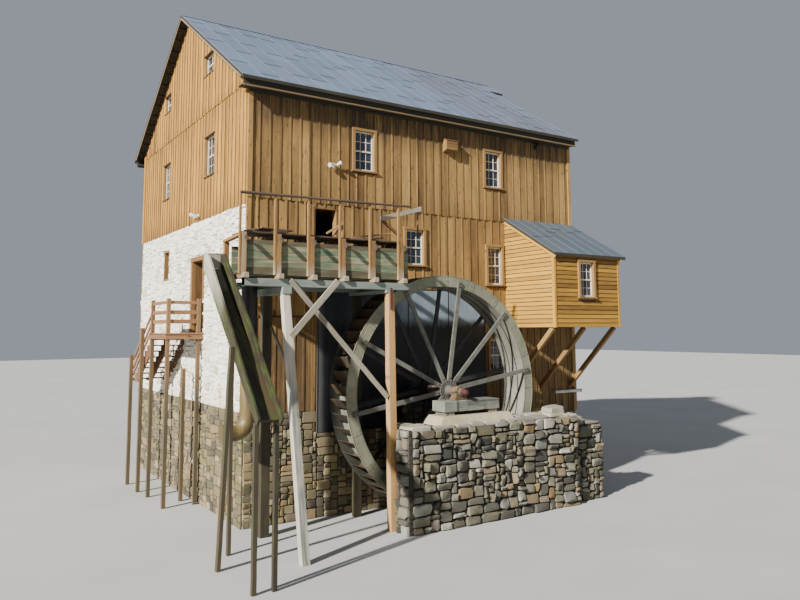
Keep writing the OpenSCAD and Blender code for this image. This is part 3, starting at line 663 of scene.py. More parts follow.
def vboard(g, wall, u0, u1, z0, zt0, zt1, d0, d1, tone, off, n=4, c=0.004, jit=0.0018, aux=0.0, zb1=None, edge=0.0):
    """An upright board on a wall; its head may slope from zt0 to zt1, its foot from z0 to zb1."""
    zb1 = z0 if zb1 is None else zb1
    r = g.r
    sec = [(u0, d0), (u0, d1 - c), (u0 + c, d1), (u1 - c, d1), (u1, d1 - c), (u1, d0)]
    vs, gs, ax = [], [], []
    for i in range(n + 1):
        t = i / n
        ju, jd = (0, 0) if i in (0, n) else (r.uniform(-jit, jit), r.uniform(-jit, jit))
        for (u, d) in sec:
            k = (u - u0) / (u1 - u0)
            lo = z0 + (zb1 - z0) * k
            hi = zt0 + (zt1 - zt0) * k
            z = lo + (hi - lo) * t
            uu = u + (ju if d > d0 else 0)
            dd = d + (jd if d > d0 else 0)
            q = wall(uu, z, dd)
            vs.append(q)
            base = aux(*q) if callable(aux) else aux
            # edge raises the aux of the board's side faces; on battens (edge=1.0) it paints their sides dark: painted
            # shade.
            ax.append(max(base, edge) if d < d1 - 0.0005 else base)
            gs.append((off[0] + z, off[1] + u, off[2] + d))
    fs = [tuple(range(6)), tuple(range(n * 6, n * 6 + 6))]
    for i in range(n):
        for j in range(6):
            fs.append((i * 6 + j, i * 6 + (j + 1) % 6, (i + 1) * 6 + (j + 1) % 6, (i + 1) * 6 + j))
    g.put(vs, fs, gs, tone, ax)


def siding(g, wall, ua, ub, zlo, ztop, holes, db=0.002, bt=0.024, pitch=0.303, bw=0.062, bth=0.017, aux=0.0,
           ends=True, tones=None):
    r = g.r
    n = max(1, round((ub - ua) / pitch))
    p = (ub - ua) / n
    js = [ua + i * p + (0 if i in (0, n) else r.uniform(-0.016, 0.016)) for i in range(n + 1)]
    top = ztop if callable(ztop) else (lambda u: ztop)
    low = zlo if callable(zlo) else (lambda u: zlo)
    for i in range(n):
        u0, u1 = js[i] + 0.0015, js[i + 1] - 0.0015
        tone = r.random() if tones is None else min(1, max(0, r.gauss(*tones)))
        off = (r.uniform(0, 30), r.uniform(0, 30), r.uniform(0, 30))
        cuts = sorted([u0, u1] + [e for h in holes for e in h[:2] if u0 + 0.012 < e < u1 - 0.012])
        drop = r.uniform(-0.012, 0.012)
        for a, b in zip(cuts, cuts[1:]):
            if b - a < 0.004:
                continue
            mid = (a + b) / 2
            z = low(mid) + drop
            hs = sorted([h for h in holes if h[0] < mid < h[1]], key=lambda h: h[2])
            for h in hs:
                if h[2] > z + 0.03:
                    vboard(g, wall, a, b, z, h[2] - 0.002, h[2] - 0.002, db, db + bt, tone, off, aux=aux)
                z = max(z, h[3] + 0.002)
            ta, tb_ = top(a), top(b)
            if min(ta, tb_) > z + 0.03:
                vboard(g, wall, a, b, z, ta, tb_, db, db + bt, tone, off, n=5, aux=aux)
    # Battens: their side faces are painted dark, painted shade beside each batten.
    for i, j in enumerate(js):
        if not ends and i in (0, n):
            continue
        j = min(max(j, ua + bw / 2), ub - bw / 2)
        w = bw * r.uniform(0.9, 1.1) / 2
        tone = r.random() if tones is None else min(1, max(0, r.gauss(tones[0] + 0.08, tones[1])))
        off = (r.uniform(0, 30), r.uniform(0, 30), r.uniform(0, 30))
        z = low(j) - 0.004 + r.uniform(-0.012, 0.01)
        hs = sorted([h for h in holes if h[0] - w < j < h[1] + w], key=lambda h: h[2])
        for h in hs:
            if h[2] > z + 0.03:
                vboard(g, wall, j - w, j + w, z, h[2] - 0.004, h[2] - 0.004, db + bt, db + bt + bth, tone, off, aux=aux, edge=1.0)
            z = max(z, h[3] + 0.004)
        if top(j) > z + 0.03:
            vboard(g, wall, j - w, j + w, z, top(j - w), top(j + w), db + bt, db + bt + bth, tone, off, n=5, aux=aux, edge=1.0)


def grow(q, e):
    return (q[0] / 1000 - e, q[1] / 1000 + e, q[2] / 1000 - e, q[3] / 1000 + e)


# ------------------------------------------------------------------ openings, as the frame has them
FRONT_LOW = [(8290, 8860, 3690, 4700)]
HATCH = (1990, 2700, 7080, 8470)
FRONT_MID = [(5060, 5710, 6990, 8060), (8250, 8860, 6480, 7720)]
FRONT_UP = [(3270, 3930, 9690, 10880), (8210, 8870, 9710, 10900)]
GABLE_MID = [(2640, 3440, 9730, 10940), (7330, 8050, 9700, 10930)]
GABLE_ATT = [(2860, 3660, 12960, 13590), (7430, 8130, 12900, 13500)]
SLIT = (7180, 7800, 6780, 7800)
RIGHT_LOW = [(2640, 3440, 6480, 7720), (7330, 8050, 6480, 7720)]
RIGHT_ATT = [(3100, 3800, 12700, 13300), (7020, 7720, 12700, 13300)]
BACK = [(2200, 2860, 6480, 7720), (5730, 6390, 6480, 7720), (9260, 9920, 6480, 7720),
        (2200, 2860, 9690, 10880), (5730, 6390, 9690, 10880), (9260, 9920, 9690, 10880)]
BAY_WIN = (10120, 10720, 6030, 7120)
DOOR = (3320, 4680, 5000, 7330)
BX0, BX1, BY = 9.03, 11.93, -2.24


def bay_at(y):
    return 8.64 + y * 1.3 / 2.24


# ------------------------------------------------------------------ siding
def aux_front(x, y, z):
    a = 0.0
    if z < 3.4:
        a = max(a, (3.4 - z) / 1.2)
    # Under the eave: partly a dark mould stain, partly painted shade deepening the eave's shadow.
    if z > 10.7:
        a = max(a, min(0.95, (z - 10.6) / 0.42))
    if 8.3 < z < 8.75:
        a = max(a, 0.25)
    # Darker low on the left, behind the trestle.
    if x < 2.0 and z < 5.4:
        a = max(a, 0.6)
    # Under the bay, right of the wheel: painted shade, with some weathering.
    if x > 8.1 and z < 5.3:
        a = max(a, 0.55)
    return min(1.0, a)


g = Geo(11)
ex = 0.088
holes = [grow(q, ex) for q in FRONT_LOW + FRONT_MID + FRONT_UP] + [grow(HATCH, 0.0)]
bay_hole = (BX0 - 0.0, BX1 + 0.0, 5.07, 8.70)
# upper band laps over the lower one
siding(g, wf, 0.0, L, 8.60, 11.47, holes, db=0.022, aux=aux_front, tones=(0.5, 0.3))
siding(g, wf, 0.0, 1.98, 2.86, 5.40, holes, aux=aux_front, tones=(0.35, 0.25))
siding(g, wf, 0.0, 1.98, 5.41, 8.66, holes + [bay_hole], aux=aux_front, tones=(0.5, 0.3))
siding(g, wf, 1.98, L, 2.24, 8.66, holes + [bay_hole], aux=aux_front, tones=(0.5, 0.3), ends=True)
wbox(g, wf, 0.33, 1.98, 5.375, 5.425, 0.02, 0.06, "u", n=8, tone=0.1, aux=0.8)
# corner boards
for u in (0.0, L - 0.11):
    for a, b in ((2.86 if u == 0 else 2.24, 8.62), (8.58, 11.47)):
        wbox(g, wf, u - (0.03 if u == 0 else 0), u + 0.11 + (0.03 if u > 0 else 0), a, b, 0.0, 0.062 + (0.02 if a > 8 else 0), "z", n=10, tone=0.75, aux=0.0)
make(g, "siding_front", M["side"])


def aux_gable(x, y, z):
    a = 0.0
    if z < 8.75:
        a = 0.5 * (8.75 - z) / 0.35
    if 11.6 < z < 11.95:
        a = 0.25
    return max(0.0, min(1.0, a))


g = Geo(12)
gh = [grow(q, 0.02) for q in GABLE_MID + GABLE_ATT]
siding(g, wl, 0.0, W, 8.40, 11.80, gh, aux=aux_gable, tones=(0.5, 0.2), bth=0.022, pitch=0.29)
siding(g, wl, 0.0, W, 11.74, lambda y: roof_at(y) - 0.105, gh, db=0.024, aux=aux_gable, tones=(0.5, 0.2), bth=0.022, pitch=0.29)
for y in (0.0, W - 0.11):
    wbox(g, wl, y - (0.03 if y == 0 else 0), y + 0.11 + (0.03 if y > 0 else 0), 8.40, 11.86, 0.0, 0.085, "z", n=10, tone=0.7)
make(g, "siding_gable_left", M["gable"])

g = Geo(13)
gh = [grow(q, 0.02) for q in GABLE_MID + RIGHT_ATT + RIGHT_LOW]
siding(g, wr, 0.0, W, 2.24, 8.62, gh, aux=0.0, tones=(0.5, 0.3))
siding(g, wr, 0.0, W, 8.56, 11.80, gh, db=0.022, aux=0.0, tones=(0.5, 0.3))
siding(g, wr, 0.0, W, 11.74, lambda y: min(roof_at(y) - 0.105, 15.3), gh, db=0.024, aux=0.0, tones=(0.5, 0.3))
for y in (0.0, W - 0.11):
    wbox(g, wr, y - (0.03 if y == 0 else 0), y + 0.11 + (0.03 if y > 0 else 0), 2.24, 11.86, 0.0, 0.085, "z", n=14, tone=0.7)
make(g, "siding_gable_right", M["side"])

g = Geo(14)
bh = [grow(q, ex) for q in BACK]
siding(g, wk, 0.0, L, 2.24, 8.66, bh, aux=0.0, tones=(0.5, 0.3))
siding(g, wk, 0.0, L, 8.60, 11.47, bh, db=0.022, aux=0.0, tones=(0.5, 0.3))
for u in (0.0, L - 0.11):
    wbox(g, wk, u - (0.03 if u == 0 else 0), u + 0.11 + (0.03 if u > 0 else 0), 2.24, 11.47, 0.0, 0.085, "z", n=14, tone=0.7)
make(g, "siding_back", M["side"])


# ------------------------------------------------------------------ windows
def window(gt, gs, wall, q, kind="wide"):
    u0, u1, z0, z1 = [x / 1000 for x in q]
    if kind == "wide":
        t = 0.085
        wbox(gt, wall, u0 - t, u0 + 0.012, z0 - 0.01, z1 + 0.01, 0.0, 0.074, "z", n=4, tone=0.7)
        wbox(gt, wall, u1 - 0.012, u1 + t, z0 - 0.01, z1 + 0.01, 0.0, 0.074, "z", n=4, tone=0.7)
        wbox(gt, wall, u0 - t - 0.012, u1 + t + 0.012, z1 + 0.0, z1 + t, 0.0, 0.08, "u", n=4, tone=0.65)
        wbox(gt, wall, u0 - t - 0.03, u1 + t + 0.03, z0 - 0.055, z0 - 0.004, -0.02, 0.11, "u", n=4, tone=0.35)
        dd, b = -0.012, 0.045
    else:
        wbox(gt, wall, u0 - 0.02, u0 + 0.012, z0, z1, -0.02, 0.04, "z", n=4, tone=0.7)
        wbox(gt, wall, u1 - 0.012, u1 + 0.02, z0, z1, -0.02, 0.04, "z", n=4, tone=0.7)
        wbox(gt, wall, u0 - 0.05, u1 + 0.05, z1, z1 + 0.03, -0.02, 0.085, "u", n=4, tone=0.05, aux=0.7)
        wbox(gt, wall, u0 - 0.05, u1 + 0.05, z0 - 0.04, z0, -0.03, 0.085, "u", n=4, tone=0.3, aux=0.3)
        dd, b = -0.032, 0.04
    e = dict(n=2, ch=0.003, jit=0.0006)
    zm = (z0 + z1) / 2
    # outer frame of the sashes
    wbox(gs, wall, u0, u0 + b, z0, z1, dd - 0.085, dd, "z", **e)
    wbox(gs, wall, u1 - b, u1, z0, z1, dd - 0.085, dd, "z", **e)
    wbox(gs, wall, u0 + b, u1 - b, z1 - b, z1, dd - 0.085, dd, "u", **e)
    wbox(gs, wall, u0 + b, u1 - b, z0, z0 + b + 0.01, dd - 0.085, dd, "u", **e)
    wbox(gs, wall, u0 + b, u1 - b, zm - 0.022, zm + 0.022, dd - 0.075, dd - 0.008, "u", **e)
    rows = 2 if (z1 - z0) > 0.8 else 1
    cols = 3 if (z1 - z0) > 0.8 else 2
    for s, (a, c, o) in enumerate(((z0 + b + 0.01, zm - 0.022, dd - 0.062), (zm + 0.022, z1 - b, dd - 0.05))):
        for i in range(1, cols):
            u = u0 + b + (u1 - u0 - 2 * b) * i / cols
            wbox(gs, wall, u - 0.009, u + 0.009, a, c, o, o + 0.026, "z", **e)
        for i in range(1, rows):
            z = a + (c - a) * i / rows
            wbox(gs, wall, u0 + b, u1 - b, z - 0.009, z + 0.009, o + 0.001, o + 0.025, "u", **e)


def wbay(u, z, d):
    return (u, BY - d, z)


gt, gs = Geo(21), Geo(22)
for q in FRONT_LOW + FRONT_MID + FRONT_UP:
    window(gt, gs, wf, q)
window(gt, gs, wbay, BAY_WIN)
for q in GABLE_MID + GABLE_ATT:
    window(gt, gs, wl, q, "thin")
for q in GABLE_MID + RIGHT_ATT + RIGHT_LOW:
    window(gt, gs, wr, q, "thin")
for q in BACK:
    window(gt, gs, wk, q)
# lining of the flume doorway and of the slit
u0, u1, z0, z1 = [x / 1000 for x in HATCH]
wbox(gt, wf, u0, u0 + 0.035, z0, z1, -0.2, 0.03, "z", tone=0.3)
wbox(gt, wf, u1 - 0.035, u1, z0, z1, -0.2, 0.03, "z", tone=0.6)
wbox(gt, wf, u0, u1, z1 - 0.035, z1, -0.2, 0.035, "u", tone=0.2)
wbox(gt, wf, u0 - 0.04, u1 + 0.04, z0 - 0.05, z0, -0.2, 0.07, "u", tone=0.3)
u0, u1, z0, z1 = [x / 1000 for x in SLIT]
for a in (u0, u1 - 0.05):
    wbox(gt, wl, a, a + 0.05, z0, z1, -0.34, 0.03, "z", tone=0.55)
wbox(gt, wl, u0 - 0.05, u1 + 0.05, z1 - 0.05, z1 + 0.02, -0.34, 0.035, "u", tone=0.3)
wbox(gt, wl, u0, u1, z0, z0 + 0.05, -0.34, 0.03, "u", tone=0.5)
wbox(gs, wl, u0 + 0.05, u0 + 0.09, z0 + 0.05, z1 - 0.05, -0.32, -0.27, "z")
wbox(gs, wl, u1 - 0.09, u1 - 0.05, z0 + 0.05, z1 - 0.05, -0.32, -0.27, "z")
wbox(gs, wl, u0 + 0.09, u1 - 0.09, z0 + 0.05, z0 + 0.09, -0.32, -0.27, "u")
wbox(gs, wl, u0 + 0.09, u1 - 0.09, z1 - 0.09, z1 - 0.05, -0.32, -0.27, "u")
make(gt, "window_casings", M["trim"])
make(gs, "window_sashes", M["white"],
     repl=("front_window_frames", "gable_window_frames", "back_window_frames"))


# ------------------------------------------------------------------ masonry
def table(seed, k=64, n=3):
    return np.random.RandomState(seed).rand(n, k, k)


def vnoise(x, y, seed):
    t = table(seed, 64, 1)[0]
    xi, yi = np.floor(x).astype(int), np.floor(y).astype(int)
    fx, fy = x - xi, y - yi
    fx, fy = fx * fx * (3 - 2 * fx), fy * fy * (3 - 2 * fy)
    g00, g10 = t[xi % 64, yi % 64], t[(xi + 1) % 64, yi % 64]
    g01, g11 = t[xi % 64, (yi + 1) % 64], t[(xi + 1) % 64, (yi + 1) % 64]
    return (g00 * (1 - fx) + g10 * fx) * (1 - fy) + (g01 * (1 - fx) + g11 * fx) * fy - 0.5


def stone_field(u, v, sw, sh, seed, p=3.0):
    """Nearest stones of a rough coursed wall: edge distance, and a random value of the nearest stone."""
    t = table(seed)
    x, y = u / sw, v / sh
    # courses wander a little
    y = y + 0.35 * vnoise(u * 0.5, v * 0.5, seed + 5) + 0.15 * vnoise(u * 1.7, v * 1.7, seed + 6)
    x = x + 0.3 * vnoise(u * 0.9, v * 2.1, seed + 7)
    yi = np.floor(y).astype(int)
    f1 = np.full(x.shape, 9.0)
    f2 = np.full(x.shape, 9.0)
    val = np.zeros(x.shape)
    for dj in (-1, 0, 1):
        j = yi + dj
        xs = x - 0.5 * (j % 2)
        xi = np.floor(xs).astype(int)
        for di in (-1, 0, 1, 2, -2):
            i = xi + di
            px = i + 0.5 + (t[0][i % 64, j % 64] - 0.5) * 0.75
            py = j + 0.5 + (t[1][i % 64, j % 64] - 0.5) * 0.32
            d = (np.abs(xs - px) ** p + np.abs(y - py) ** p) ** (1 / p)
            near = d < f1
            f2 = np.where(near, f1, np.minimum(f2, d))
            val = np.where(near, t[2][i % 64, j % 64], val)
            f1 = np.where(near, d, f1)
    return f2 - f1, val


def stones(g, wall, u0, u1, z0, z1, step, relief, sw, sh, seed, base=0.004, back=-0.02, width=0.28, rough=0.012,
           plane=None, top=None, amin=0.0):
    """A closed slab whose face is laid up of stones, `relief` proud of their joints."""
    nu, nz = max(2, int(round((u1 - u0) / step))), max(2, int(round((z1 - z0) / step)))
    U, Z = np.meshgrid(np.linspace(u0, u1, nu + 1), np.linspace(z0, z1, nz + 1))
    e, val = stone_field(U + 50, Z + 50, sw, sh, seed)
    k = np.clip(e / width, 0, 1)
    k = k * k * (3 - 2 * k)
    hgt = base + relief * (0.25 + 0.75 * k * (0.55 + 0.45 * val))
    hgt += rough * vnoise(U * 9, Z * 9, seed + 1) + rough * 0.6 * vnoise(U * 21, Z * 21, seed + 2)
    jt = 1 - np.clip(e / (width * 0.45), 0, 1)
    vs, gs, tn, ax = [], [], [], []
    for a, b, c, d, q in zip(U.ravel(), Z.ravel(), hgt.ravel(), val.ravel(), jt.ravel()):
        zz = b if top is None else min(b, top(a))
        vs.append(wall(a, zz, c))
        gs.append((a, b, c))
        tn.append(float(d))
        ax.append(max(amin, float(q)))
    fs = []
    row = nu + 1
    for j in range(nz):
        for i in range(nu):
            fs.append((j * row + i, j * row + i + 1, (j + 1) * row + i + 1, (j + 1) * row + i))
    ring = [i for i in range(nu)] + [nu + j * row for j in range(nz)] + [nz * row + nu - i for i in range(nu)] + [
        (nz - j) * row for j in range(nz)]
    n0 = len(vs)
    for i in ring:
        a, b = U.ravel()[i], Z.ravel()[i]
        zz = b if top is None else min(b, top(a))
        vs.append(wall(a, zz, back))
        gs.append((a, b, back))
        tn.append(tn[i])
        ax.append(0.5)
    m = len(ring)
    for i in range(m):
        fs.append((ring[i], ring[(i + 1) % m], n0 + (i + 1) % m, n0 + i))
    fs.append(tuple(n0 + i for i in range(m)))
    g.put(vs, fs, gs, tn, ax)


def plane(o, ua, va, na):
    o, ua, va, na = Vector(o), Vector(ua), Vector(va), Vector(na)

    def f(u, v, d):
        q = o + ua * u + va * v + na * d
        return (q.x, q.y, q.z)
    return f


def stone_block(g, wall, u0, u1, z0, z1, relief, tone, sides=10, back=-0.012, round_=4.5, rag=0.07, skew=0.12, aux=0.0,
                tilt=0.24, corners=False):
    """One laid stone: an uneven outline, a broken arris and a slightly domed face."""
    r = g.r
    cu, cz, hu, hz = (u0 + u1) / 2, (z0 + z1) / 2, (u1 - u0) / 2, (z1 - z0) / 2
    p = r.uniform(round_ * 0.7, round_ * 1.5)
    sk = [(r.uniform(-skew, skew) * 0.5, r.uniform(-skew, skew)) for _ in range(4)]
    ph = r.uniform(-0.2, 0.2)
    out = []
    for i in range(sides):
        a = 2 * math.pi * (i + 0.5 + r.uniform(-0.16, 0.16)) / sides + ph
        c, q = math.cos(a), math.sin(a)
        x = math.copysign(abs(c) ** (2 / p), c) * (1 - rag * r.random())
        y = math.copysign(abs(q) ** (2 / p), q) * (1 - rag * 1.6 * r.random())
        fx, fy = (x + 1) / 2, (y + 1) / 2
        dx = (sk[0][0] * (1 - fx) * (1 - fy) + sk[1][0] * fx * (1 - fy) + sk[2][0] * fx * fy + sk[3][0] * (1 - fx) * fy)
        dy = (sk[0][1] * (1 - fx) * (1 - fy) + sk[1][1] * fx * (1 - fy) + sk[2][1] * fx * fy + sk[3][1] * (1 - fx) * fy)
        out.append((x - abs(dx) * math.copysign(1, x), y - abs(dy) * math.copysign(1, y)))
    if corners:
        sides, out = 8, []
        for i, (x, y) in enumerate(((-1, -1), (0, -1), (1, -1), (1, 0), (1, 1), (0, 1), (-1, 1), (-1, 0))):
            k = 1 - rag * r.random() ** 1.6
            kx, ky = (k, 1 - rag * r.random() ** 1.6) if i % 2 == 0 else (1.0, 1.0)
            sx, sy = (r.uniform(-0.45, 0.45), r.uniform(-0.10, 0.02)) if x == 0 else ((r.uniform(-0.08, 0.02), r.uniform(-0.4, 0.4)) if y == 0 else (0, 0))
            if x == 0:
                out.append((sx, y * (1 + sy)))
            elif y == 0:
                out.append((x * (1 + sx), sy))
            else:
                out.append((x * kx, y * ky))
    tu, tz = r.uniform(-tilt, tilt), r.uniform(-tilt, tilt)
    off = (r.uniform(0, 20), r.uniform(0, 20), r.uniform(0, 20))
    vs, gs, tn = [], [], []
    rings = ((1.0, back, 0), (1.0, relief * (0.62 if corners else 0.35), 0.10), (0.93 if corners else 0.90, relief * 0.9, 0.10), (0.5, relief * 1.0, 0.12))
    for k, d, j in rings:
        for (x, y) in out:
            dd = d if d < 0 else d * (1 + tu * x + tz * y + r.uniform(-j, j))
            kx = k * (1 + (r.uniform(-0.03, 0.03) if 0 < k < 0.95 else 0))
            vs.append(wall(cu + hu * x * kx, cz + hz * y * kx, dd))
            gs.append((off[0] + cu + hu * x * kx, off[1] + cz + hz * y * kx, off[2]))
    m = len(rings)
    fs = [tuple(range(sides)), tuple(range((m - 1) * sides, m * sides))]
    for i in range(m - 1):
        for j in range(sides):
            fs.append((i * sides + j, i * sides + (j + 1) % sides, (i + 1) * sides + (j + 1) % sides, (i + 1) * sides + j))
    g.put(vs, fs, gs, tone, aux)


def lay(g, wall, u0, u1, z0, z1, cell, wr_, hr_, relief, gap, holes=(), tone=None, aux=0.0, **kw):
    """Fills a field with stones of mixed size, laid in broken courses."""
    r = g.r
    nu, nz = max(1, int(round((u1 - u0) / cell))), max(1, int(round((z1 - z0) / cell)))
    cu, cz = (u1 - u0) / nu, (z1 - z0) / nz
    occ = np.zeros((nz, nu), bool)
    for h in holes:
        a, b = int(math.floor((h[0] - u0) / cu + 0.3)), int(math.ceil((h[1] - u0) / cu - 0.3))
        c, d = int(math.floor((h[2] - z0) / cz + 0.3)), int(math.ceil((h[3] - z0) / cz - 0.3))
        occ[max(0, c):max(0, d), max(0, a):max(0, b)] = True
    for j in range(nz):
        for i in range(nu):
            if occ[j, i]:
                continue
            w, h = r.randint(*wr_), r.randint(*hr_)
            k = 0
            while k < w and i + k < nu and not occ[j, i + k]:
                k += 1
            if k < w or (i + k < nu and not occ[j, i + k] and (i + k + 1 >= nu or occ[j, i + k + 1])):
                k2 = k
                while i + k2 < nu and not occ[j, i + k2] and k2 < k + 2:
                    k2 += 1
                k = k2 if k2 <= wr_[1] + 2 else k
            w, q = k, 1
            while q < h and j + q < nz and not occ[j + q, i:i + w].any():
                q += 1
            if j + q == nz - 1 and not occ[nz - 1, i:i + w].any():
                q += 1
            occ[j:j + q, i:i + w] = True
            a0, a1, b0, b1 = u0 + i * cu, u0 + (i + w) * cu, z0 + j * cz, z0 + (j + q) * cz
            gp = gap * r.uniform(0.6, 1.3) / 2
            rel = relief * r.uniform(0.45, 1.1)
            t = r.random() if tone is None else min(1, max(0, r.gauss(*tone)))
            dz = r.uniform(-0.006, 0.006)
            stone_block(g, wall, a0 + gp, a1 - gp, max(z0 + 0.002, b0 + gp * 0.7 + dz), b1 - gp * 0.7 + dz, rel, t,
                        aux=aux(a0, b0) if callable(aux) else aux, **kw)


d0, d1, dz0, dz1 = [x / 1000 for x in DOOR]
s0, s1, sz0, sz1 = [x / 1000 for x in SLIT]
g = Geo(31)
bed = dict(step=0.085, relief=0.006, sw=0.36, sh=0.145, seed=3, base=0.001, width=0.36, rough=0.02, amin=0.55)
for a, b, c, d in ((0.0, d0, 2.9, 8.42), (d0, d1, 2.9, dz0 - 0.002), (d0, d1, dz1, 8.42), (d1, s0, 2.9, 8.42),
                   (s0, s1, 2.9, sz0), (s0, s1, sz1, 8.42), (s1, W, 2.9, 8.42)):
    stones(g, wl, a, b, c, d, **bed)
lay(g, wl, 0.0, W, 2.9, 8.42, 0.05, (4, 12), (2, 5), 0.05, 0.016,
    holes=((d0 - 0.02, d1 + 0.02, dz0 - 0.02, dz1 + 0.02), (s0 - 0.02, s1 + 0.02, sz0 - 0.02, sz1 + 0.02)),
    tone=(0.55, 0.32), rag=0.26, back=-0.01, tilt=0.42, corners=True)
make(g, "stone_facing_gable", M["lime"], smooth=32)

g = Geo(32)
big = dict(cell=0.055, wr_=(3, 11), hr_=(2, 5), relief=0.06, gap=0.022, rag=0.24, corners=True)
stones(g, wl, 0.0, W, 0.001, 2.895, step=0.1, relief=0.004, sw=0.36, sh=0.15, seed=5, base=0.001, width=0.36, rough=0.006, amin=1.0)
lay(g, wl, 0.0, W, 0.0, 2.9, **dict(big, relief=0.045))
lay(g, wf, 0.0, 2.1, 0.0, 2.85, **big)
lay(g, wf, 2.1, L, 0.0, 2.24, **big)
lay(g, wr, 0.0, W, 0.0, 2.24, **big)
lay(g, wk, 0.0, L, 0.0, 2.24, **big)
make(g, "footing_facing", M["footing"], smooth=28)

g = Geo(33)
rub = dict(cell=0.062, wr_=(3, 10), hr_=(2, 5), relief=0.11, gap=0.034, rag=0.34, back=-0.03, tilt=0.4, corners=True)
top = dict(cell=0.08, wr_=(4, 9), hr_=(3, 7), relief=0.08, gap=0.03, rag=0.3, back=-0.03, corners=True)
lay(g, plane((0, -2.92, 0), (1, 0, 0), (0, 0, 1), (0, -1, 0)), 3.29, 9.10, 0.0, 2.53, **rub)
lay(g, plane((3.29, 0, 0), (0, 1, 0), (0, 0, 1), (-1, 0, 0)), -2.40, -1.93, 0.0, 2.53, **rub)
lay(g, plane((3.20, 0, 0), (0, 1, 0), (0, 0, 1), (-1, 0, 0)), -2.92, -2.42, 0.0, 2.53, **rub)
lay(g, plane((9.10, 0, 0), (0, 1, 0), (0, 0, 1), (1, 0, 0)), -2.92, -2.70, 0.0, 2.53, **rub)
lay(g, plane((9.10, 0, 0), (0, 1, 0), (0, 0, 1), (1, 0, 0)), -2.0, -0.01, 0.0, 2.38, **rub)
lay(g, plane((0, -1.93, 0), (1, 0, 0), (0, 0, 1), (0, 1, 0)), 3.29, 8.70, 0.0, 2.53, **dict(rub, relief=0.06))
lay(g, plane((8.70, 0, 0), (0, 1, 0), (0, 0, 1), (-1, 0, 0)), -1.93, -0.01, 0.0, 2.38, **dict(rub, relief=0.06))
lay(g, plane((0, -2.70, 0), (1, 0, 0), (0, 0, 1), (0, -1, 0)), 9.10, 10.35, 0.0, 2.18, **rub)
lay(g, plane((10.35, 0, 0), (0, 1, 0), (0, 0, 1), (1, 0, 0)), -2.70, -2.0, 0.0, 2.18, **rub)
lay(g, plane((0, -2.0, 0), (1, 0, 0), (0, 0, 1), (0, 1, 0)), 9.10, 10.35, 0.0, 2.18, **rub)
make(g, "pit_wall_facing", M["rubble"], smooth=26)

g = Geo(35)
for a, b, c, d in ((3.20, 3.95, -2.96, -1.93), (6.72, 9.10, -2.96, -1.93), (3.95, 6.72, -2.98, -2.80)):
    lay(g, plane((0, 0, 2.53), (1, 0, 0), (0, 1, 0), (0, 0, 1)), a, b, c, d, **top)
lay(g, plane((0, 0, 2.39), (1, 0, 0), (0, 1, 0), (0, 0, 1)), 8.70, 9.10, -1.93, -0.01, **top)
lay(g, plane((0, 0, 2.19), (1, 0, 0), (0, 1, 0), (0, 0, 1)), 9.72, 10.35, -2.70, -2.0, **top)
# the big flat stones on the low wall's end
stone_block(g, plane((0, 0, 2.19), (1, 0, 0), (0, 1, 0), (0, 0, 1)), 9.08, 9.74, -2.74, -2.0, 0.22, 0.2, sides=12, rag=0.1)
stone_block(g, plane((0, 0, 2.58), (1, 0, 0), (0, 1, 0), (0, 0, 1)), 8.25, 8.95, -2.80, -2.15, 0.20, 0.35, sides=12, rag=0.12)
make(g, "pit_wall_caps", M["cap"], smooth=26)

g = Geo(34)
rb = dict(rub, relief=0.05, gap=0.02)
for pl, a, b in ((plane((0, -0.70, 0), (1, 0, 0), (0, 0, 1), (0, -1, 0)), 4.85, 5.70),
                 (plane((4.85, 0, 0), (0, 1, 0), (0, 0, 1), (-1, 0, 0)), -0.70, -0.15),
                 (plane((5.70, 0, 0), (0, 1, 0), (0, 0, 1), (1, 0, 0)), -0.70, -0.15)):
    lay(g, pl, a, b, 0.0, 2.98, **rb)
make(g, "rear_pier_facing", M["rubble"], smooth=26)


# ------------------------------------------------------------------ roof covering
AL = math.atan(SLOPE)
SL = (YR + EO) / math.cos(AL)


def roof_front(u, v, d):
    return (u, -EO + v * math.cos(AL) - d * math.sin(AL), EAVE + v * math.sin(AL) + d * math.cos(AL))


def roof_back(u, v, d):
    return (u, W + EO - v * math.cos(AL) + d * math.sin(AL), EAVE + v * math.sin(AL) + d * math.cos(AL))


def sheets(g, wall, ua, ub, va, vb, pitch, length, aux=None, rib=0.013):
    r = g.r
    n = round((ub - ua) / pitch)
    p = (ub - ua) / n
    for i in range(n):
        u0, u1 = ua + i * p, ua + (i + 1) * p
        v = va - r.uniform(0.15, 0.85) * length
        while v < vb:
            a, b = max(v, va), min(v + length, vb)
            if b - a > 0.05:
                tone = min(1, max(0, r.gauss(0.5, 0.2)))
                off = (r.uniform(0, 30), r.uniform(0, 30), r.uniform(0, 30))
                vboard(g, wall, u0 + 0.001, u1 - 0.001, a, b, b, 0.0, 0.006, tone, off, n=3, c=0.002, jit=0.002,
                       aux=aux(0.5 * (u0 + u1)) if aux else 0.0)
                if a > va + 0.01:
                    vboard(g, wall, u0 + 0.02, u1 - 0.02, a - 0.010, a + 0.010, a + 0.010, 0.004, 0.018, 0.0, off,
                           n=1, c=0.002, jit=0, aux=0.9)
            v += length
    for i in range(n + 1):
        u = min(max(ua + i * p, ua + 0.012), ub - 0.012)
        off = (r.uniform(0, 30), r.uniform(0, 30), r.uniform(0, 30))
        vboard(g, wall, u - 0.010, u + 0.010, va, vb, vb, 0.0, rib, 0.6, off, n=6, c=0.004, jit=0.0015,
               aux=aux(u) * 0.4 if aux else 0.0)


def roof_aux(u):
    return min(0.8, max(0.0, (u - 7.2) / 1.6)) * (0.85 if u < 11.4 else 0.5)


